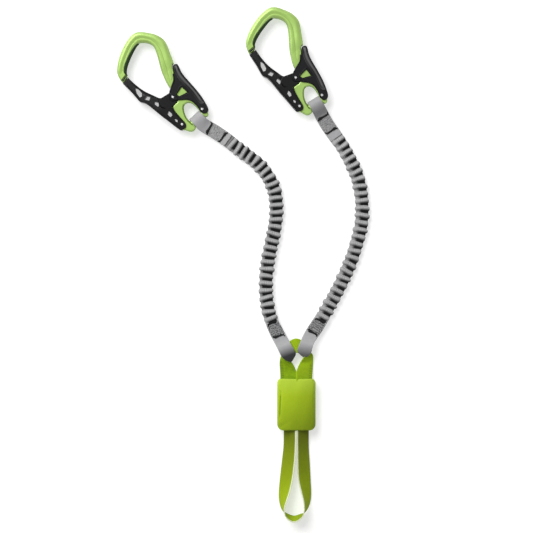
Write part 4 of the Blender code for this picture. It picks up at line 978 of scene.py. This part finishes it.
# webbing loops: at each station the raised edge, the floor edge, the share of the width and the level
webbing = {"width": 0.0175, "thickness": 0.0022, "upperSeen": 0.0015, "tieSeen": 0.0010, "leastRise": 0.12,
           "mouth": 0.0025, "tieLength": 0.222, "yarn": 0.0011}
yEdges = (
    ((296.7, 383), (280.6, 383), 0.55, 2), ((296.7, 377), (280.4, 377), 0.55, 2),
    ((296.1, 371.4), (280.1, 370.4), 0.6, 1), ((292.9, 364), (279.7, 363.2), 0.86, 1),
    ((287.9, 359), (281, 356.6), 0.56, 0), ((290.4, 354.7), (285.4, 351.3), 0.52, 0),
    ((293.8, 353.4), (287.6, 345), 0.7, 0), ((295, 353), (291, 340.4), 0.9, 0),
    ((296.2, 352.8), (296.2, 338.6), 0.96, 0), ((297.6, 353), (301.6, 340.4), 0.9, 0),
    ((299.4, 353.6), (304.8, 345), 0.7, 0), ((303.4, 354.2), (306.8, 348.8), 0.52, 0),
    ((303.6, 357), (312.7, 354.6), 0.66, 0), ((299.4, 364), (313.3, 361.6), 0.94, 1),
    ((296.2, 371.4), (312.8, 369.8), 1.3, 1), ((296.2, 377), (312.2, 377), 1.3, 2),
    ((296.2, 383), (312, 383), 1.3, 2),
)
tieEdges = (
    ((296.4, 425.5), (283.9, 425.5), 1, 2), ((296.4, 431.5), (283.9, 431.5), 1, 2),
    ((296.2, 447), (283.6, 447), 1, 1), ((295.2, 463), (281.9, 462.5), 1, 1),
    ((292.9, 480), (279.8, 481.5), 1, 1), ((289.8, 492.5), (278.9, 495), 1, 1),
    ((286.4, 501.5), (279.9, 504), 1, 1), ((284.3, 509), (282.6, 510.8), 1, 1),
    ((286.3, 517), (287.4, 514.3), 1, 1), ((293.6, 521.4), (293.9, 516.4), 1, 1),
    ((300.8, 517.8), (300.3, 514.8), 1, 1), ((303.7, 511.6), (305.5, 512.4), 1, 1),
    ((303.4, 501.5), (309.6, 505), 1, 1), ((300.4, 490.5), (311.2, 495), 1, 1),
    ((297.6, 478), (310.7, 481), 1, 1), ((296.9, 463), (309.8, 463.5), 1, 1),
    ((296.7, 447), (308.8, 447), 1, 1), ((296.6, 431.5), (308.8, 431.5), 1, 2),
    ((296.6, 425.5), (308.8, 425.5), 1, 2),
)


def pocketShade(made, u, v, colour):
    # tie-in webbing: painted shadow where it comes out of the cover, and painted shade on the second leg
    middle = webbing["tieLength"] / 2
    near = (((u - middle).abs() / middle - 0.30) * 1.5).clip()
    second = ((u - middle) * 90.0).clip()
    colour = made.mix(near * 0.85, colour, (0.115, 0.135, 0.003))
    return made.mix(second * 0.22, colour, (0.07, 0.09, 0.003))


def legShade(made, u, v, colour):
    # upper webbing: streaks, most of all on the first leg, and a row of hem stitches by one edge of both legs
    first = (1.6 - u * 40.0).clip()
    streaks = made.noise(420.0, 3.0)
    colour = made.mix((first * 0.62 + (streaks - 0.5) * 1.1).clip() * 0.80, colour, (0.13, 0.25, 0.002))
    onLegs = (u - 0.0525).abs() > 0.026
    hem = onLegs * ((-0.0066 - v) * 2500.0).clip() * ((u * 3300.0).sin() > -0.2)
    return made.mix(hem * 0.5, colour, (0.07, 0.12, 0.003))


limeStrap = wovenCloth("limeStrap", (0.40, 0.60, 0.006), (0.20, 0.31, 0.002), webbing["yarn"], shade=legShade,
                       sheen=0.04)
tieStrap = wovenCloth("tieStrap", (0.41, 0.55, 0.005), (0.24, 0.34, 0.002), webbing["yarn"], sheen=0.0,
                      shade=pocketShade, edge=((0.82, 0.86, 0.60), webbing["width"] / 2 * 0.86))


def webbingBand(name, stations, material, node, seen):
    # both edges are smoothed through the stations; the rise of the band at a station is what its width
    # leaves after the level distance between the edges, by Pythagoras
    half = webbing["thickness"] / 2
    edges = []
    for raised, floor, share, level in stations:
        high, low = px(*raised), px(*floor)
        width = webbing["width"] * share
        least = (width * webbing["leastRise"]) ** 2
        rise = math.sqrt(max(width ** 2 - np.linalg.norm(high - low) ** 2, least))
        base = (heights["lowerEye"] - rise / 2, half + 0.0003, webbing["mouth"] + half)[level]
        edges.append(np.concatenate([high + [0, 0, base + rise], low + [0, 0, base]]))
    both, _ = smoothLine(edges, 320)
    high, low = both[:, :3], both[:, 3:]
    piece = strap(name, (high + low) / 2, high - low, np.linalg.norm(high - low, axis=1), seen,
                  material, "absorber", facePoints=13)
    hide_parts(node)


webbingBand("y_loop_webbing", yEdges, limeStrap, "y_webbing_loop", webbing["upperSeen"])
webbingBand("tie_in_webbing", tieEdges, tieStrap, "tie_in_loop", webbing["tieSeen"])
print("webbing made")

# pouch: a soft cover with rounded corners, leaning sides and a pillowed top; the first eight are pixels
pouch = {"left": 277.2, "right": 315.5, "top": 378.6, "bottom": 430.0, "upperCorner": 4.6, "lowerCorner": 6.0,
         "halfWidth": 19.2, "halfLength": 25.7, "yarn": 0.0009, "height": 0.0198, "rim": 0.0150,
         "wallTop": 0.0105, "shoulder": 0.0046, "endWall": 0.0150, "lip": 0.0013, "foot": 0.0014,
         "bulge": 0.0006, "floorGap": 0.00006, "foldDepth": 0.0016, "leanDown": 0.0016,
         "leanRight": 0.0008, "waves": 0.00022, "sideFold": (0.84, 0.05, 0.045),
         "lowFold": (0.50, 0.45, 0.09)}   # place, slant and width of each fold


def handledShade(made, u, v, colour):
    # cover: a painted highlight in a band at the upper end, painted shade in a crease by the left side, and
    # painted shade that deepens to the lower right, away from the light
    x, y, _ = made.parts(made.objectPlace())
    topHighlight = ((y - 0.009) * 60.0).clip()
    line = (1.0 - (x - y * 0.05 + 0.0179).abs() * 900.0).clip()
    creaseShade = line * ((0.0135 - (y + 0.001).abs()) * 250.0).clip()
    far = (x * 13.0 - y * 17.0 + 0.34).clip()
    colour = made.mix(topHighlight * 0.34, colour, (0.60, 0.80, 0.11))
    colour = made.mix(creaseShade * 0.62, colour, (0.10, 0.16, 0.003))
    return made.mix(far * 0.74, colour, (0.14, 0.205, 0.002))


pouchCloth = wovenCloth("pouchCloth", (0.47, 0.66, 0.018), (0.33, 0.47, 0.006), pouch["yarn"],
                        shade=handledShade, sheen=0.04, yarnHeight=0.00008)


def pouchOutline(count):
    # rounded rectangle with its own radius for the upper and the lower corners, at even steps
    x0, y1 = px(pouch["left"], pouch["top"])[:2]
    x1, y0 = px(pouch["right"], pouch["bottom"])[:2]
    big, small = pouch["lowerCorner"] * pixel, pouch["upperCorner"] * pixel
    turn = np.linspace(0, math.pi / 2, 12)
    arcs = []
    for centre, radius, start in (((x1 - small, y1 - small), small, 0), ((x0 + small, y1 - small), small, 1),
                                  ((x0 + big, y0 + big), big, 2), ((x1 - big, y0 + big), big, 3)):
        a = turn + start * math.pi / 2
        arcs.append(np.stack([centre[0] + radius * np.cos(a), centre[1] + radius * np.sin(a)], -1))
    line = np.vstack(arcs + [arcs[0][:1]])
    along = lengthAlong(line)
    return readAt(np.linspace(0, along[-1], count, endpoint=False), along, line)


def pouchTop(u, v):
    # height over the cover: a dome that leans down to the lower edge and the right, with one soft fold by
    # the left side, a slight one across the lower left, and faint waves
    dome = (1 - np.abs(u) ** 2.6) * (1 - 0.35 * np.abs(v) ** 2.4)
    z = pouch["rim"] + (pouch["height"] - pouch["rim"]) * np.clip(dome, 0, 1)
    z = z - pouch["leanDown"] * np.clip(-v - 0.1, 0, 1) ** 1.5 - pouch["leanRight"] * np.clip(u, 0, 1) ** 2
    lengthOfFold = np.clip(1 - (np.abs(v + 0.02) / 0.56) ** 6, 0, 1)
    place, slant, width = pouch["sideFold"]
    z = z - pouch["foldDepth"] * np.exp(-((u + place - slant * v) / width) ** 2) * lengthOfFold
    place, slant, width = pouch["lowFold"]
    lowerLeft = np.clip(-u - 0.1, 0, 1)
    z = z - pouch["foldDepth"] / 2 * np.exp(-((v + place - slant * u) / width) ** 2) * lowerLeft
    return z + pouch["waves"] * np.sin(7 * u + 2 * v) * np.sin(5 * v - 2 * u)


def pouchShell():
    # rings from the middle of the underside, round the side wall, up over the shoulder to the middle of the
    # top; the long sides have a low wall and a wide shoulder, and the two ends a high wall and a narrow lip
    cols = 320
    outline = pouchOutline(cols)
    middle = outline.mean(0)
    way = middle - outline
    reach = np.linalg.norm(way, axis=1, keepdims=True)
    way = way / reach
    halfWidth, halfLength, foot = pouch["halfWidth"] * pixel, pouch["halfLength"] * pixel, pouch["foot"]
    sideShare = ease((np.abs(way[:, 0]) * reach[:, 0] / halfWidth - 0.80) / 0.18)
    wall = pouch["endWall"] + (pouch["wallTop"] - pouch["endWall"]) * sideShare
    shoulder = (pouch["lip"] + (pouch["shoulder"] - pouch["lip"]) * sideShare)[:, None]

    def topAt(flat):
        # height of the top, with both distances from the middle as shares of half the size
        return pouchTop((flat[:, 0] - middle[0]) / halfWidth, (flat[:, 1] - middle[1]) / halfLength)

    def ring(flat, z):
        # a row of points at height z
        return np.column_stack([flat, np.broadcast_to(z, cols)])

    rows = [ring(outline + way * reach * (1 - k), pouch["floorGap"]) for k in np.linspace(0.02, 0.92, 8)]
    for t in np.linspace(-math.pi / 2, 0, 8):
        rows.append(ring(outline + way * foot * (1 - math.cos(t)), foot + foot * math.sin(t)))
    for k in np.linspace(0.08, 1, 14):
        rows.append(ring(outline + way * pouch["bulge"] * math.sin(math.pi * k), foot + (wall - foot) * k))
    for t in np.linspace(0, math.pi / 2, 20)[1:]:
        flat = outline + way * shoulder * (1 - math.cos(t) ** 1.1)
        rows.append(ring(flat, wall + (topAt(flat) - wall) * math.sin(t)))
    rim = rows[-1][:, :2]
    for k in np.linspace(0, 0.985, 44)[1:]:
        flat = rim * (1 - k) + middle * k
        rows.append(ring(flat, topAt(flat)))
    points = np.stack(rows)
    uv = np.zeros((len(rows) + 1, cols + 1, 2))
    uv[:-1, :-1] = points[..., :2]
    uv[-1] = uv[-2]
    uv[:, -1] = uv[:, 0]
    piece = pointUp(gridPiece("absorber_cover", points, pouchCloth, "absorber", uv))
    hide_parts("absorber_pouch", "tear_webbing_pack")


pouchShell()
print("pouch made")

# floor, light and world
studio = {"floor": 0.66, "floorGlow": 0.52, "floorSize": 6, "floorLevel": -0.0004, "key": 80.0, "fill": 5.0,
          "sky": 0.28}
floorFinish = Finish("paleFloor", Roughness=0.9, Specular_IOR_Level=0.1, Emission_Color=(1.0, 1.0, 1.0, 1.0),
                     Emission_Strength=studio["floorGlow"])
paper = floorFinish.noise(30.0, 3.0)
floorFinish.colour(floorFinish.mix(paper, (studio["floor"],) * 3, (studio["floor"] + 0.02,) * 3))
floorMesh = bpy.data.meshes.new("floor")
reach, low = studio["floorSize"], studio["floorLevel"]
floorCorners = [(-reach, -reach, low), (reach, -reach, low), (reach, reach, low), (-reach, reach, low)]
floorMesh.from_pydata(floorCorners, [], [(0, 1, 2, 3)])
floorMesh.materials.append(floorFinish.material)
floor = linked("floor", floorMesh)


def softLight(name, place, size, power):
    # a square light that looks at one point of the floor
    target = (0.0, 0.15, 0.0)
    data = bpy.data.lights.new(name, "AREA")
    data.size = size
    data.energy = power
    lamp = linked(name, data)
    lamp.location = place
    way = np.array(target) - np.array(place)
    lamp.rotation_euler = (math.acos(-way[2] / np.linalg.norm(way)), 0.0, math.atan2(-way[0], way[1]))


softLight("keyLight", (-1.20, 1.70, 2.30), 1.9, studio["key"])
softLight("fillLight", (1.3, -0.5, 2.2), 2.2, studio["fill"])
world = bpy.data.worlds.new("studio")
world.use_nodes = True
background = world.node_tree.nodes["Background"]
background.inputs[0].default_value = (1.0, 1.0, 1.0, 1.0)
background.inputs[1].default_value = studio["sky"]
bpy.context.scene.world = world
bpy.context.scene.view_settings.view_transform = "Standard"
bpy.context.scene.view_settings.look = "None"
print("light and floor made")
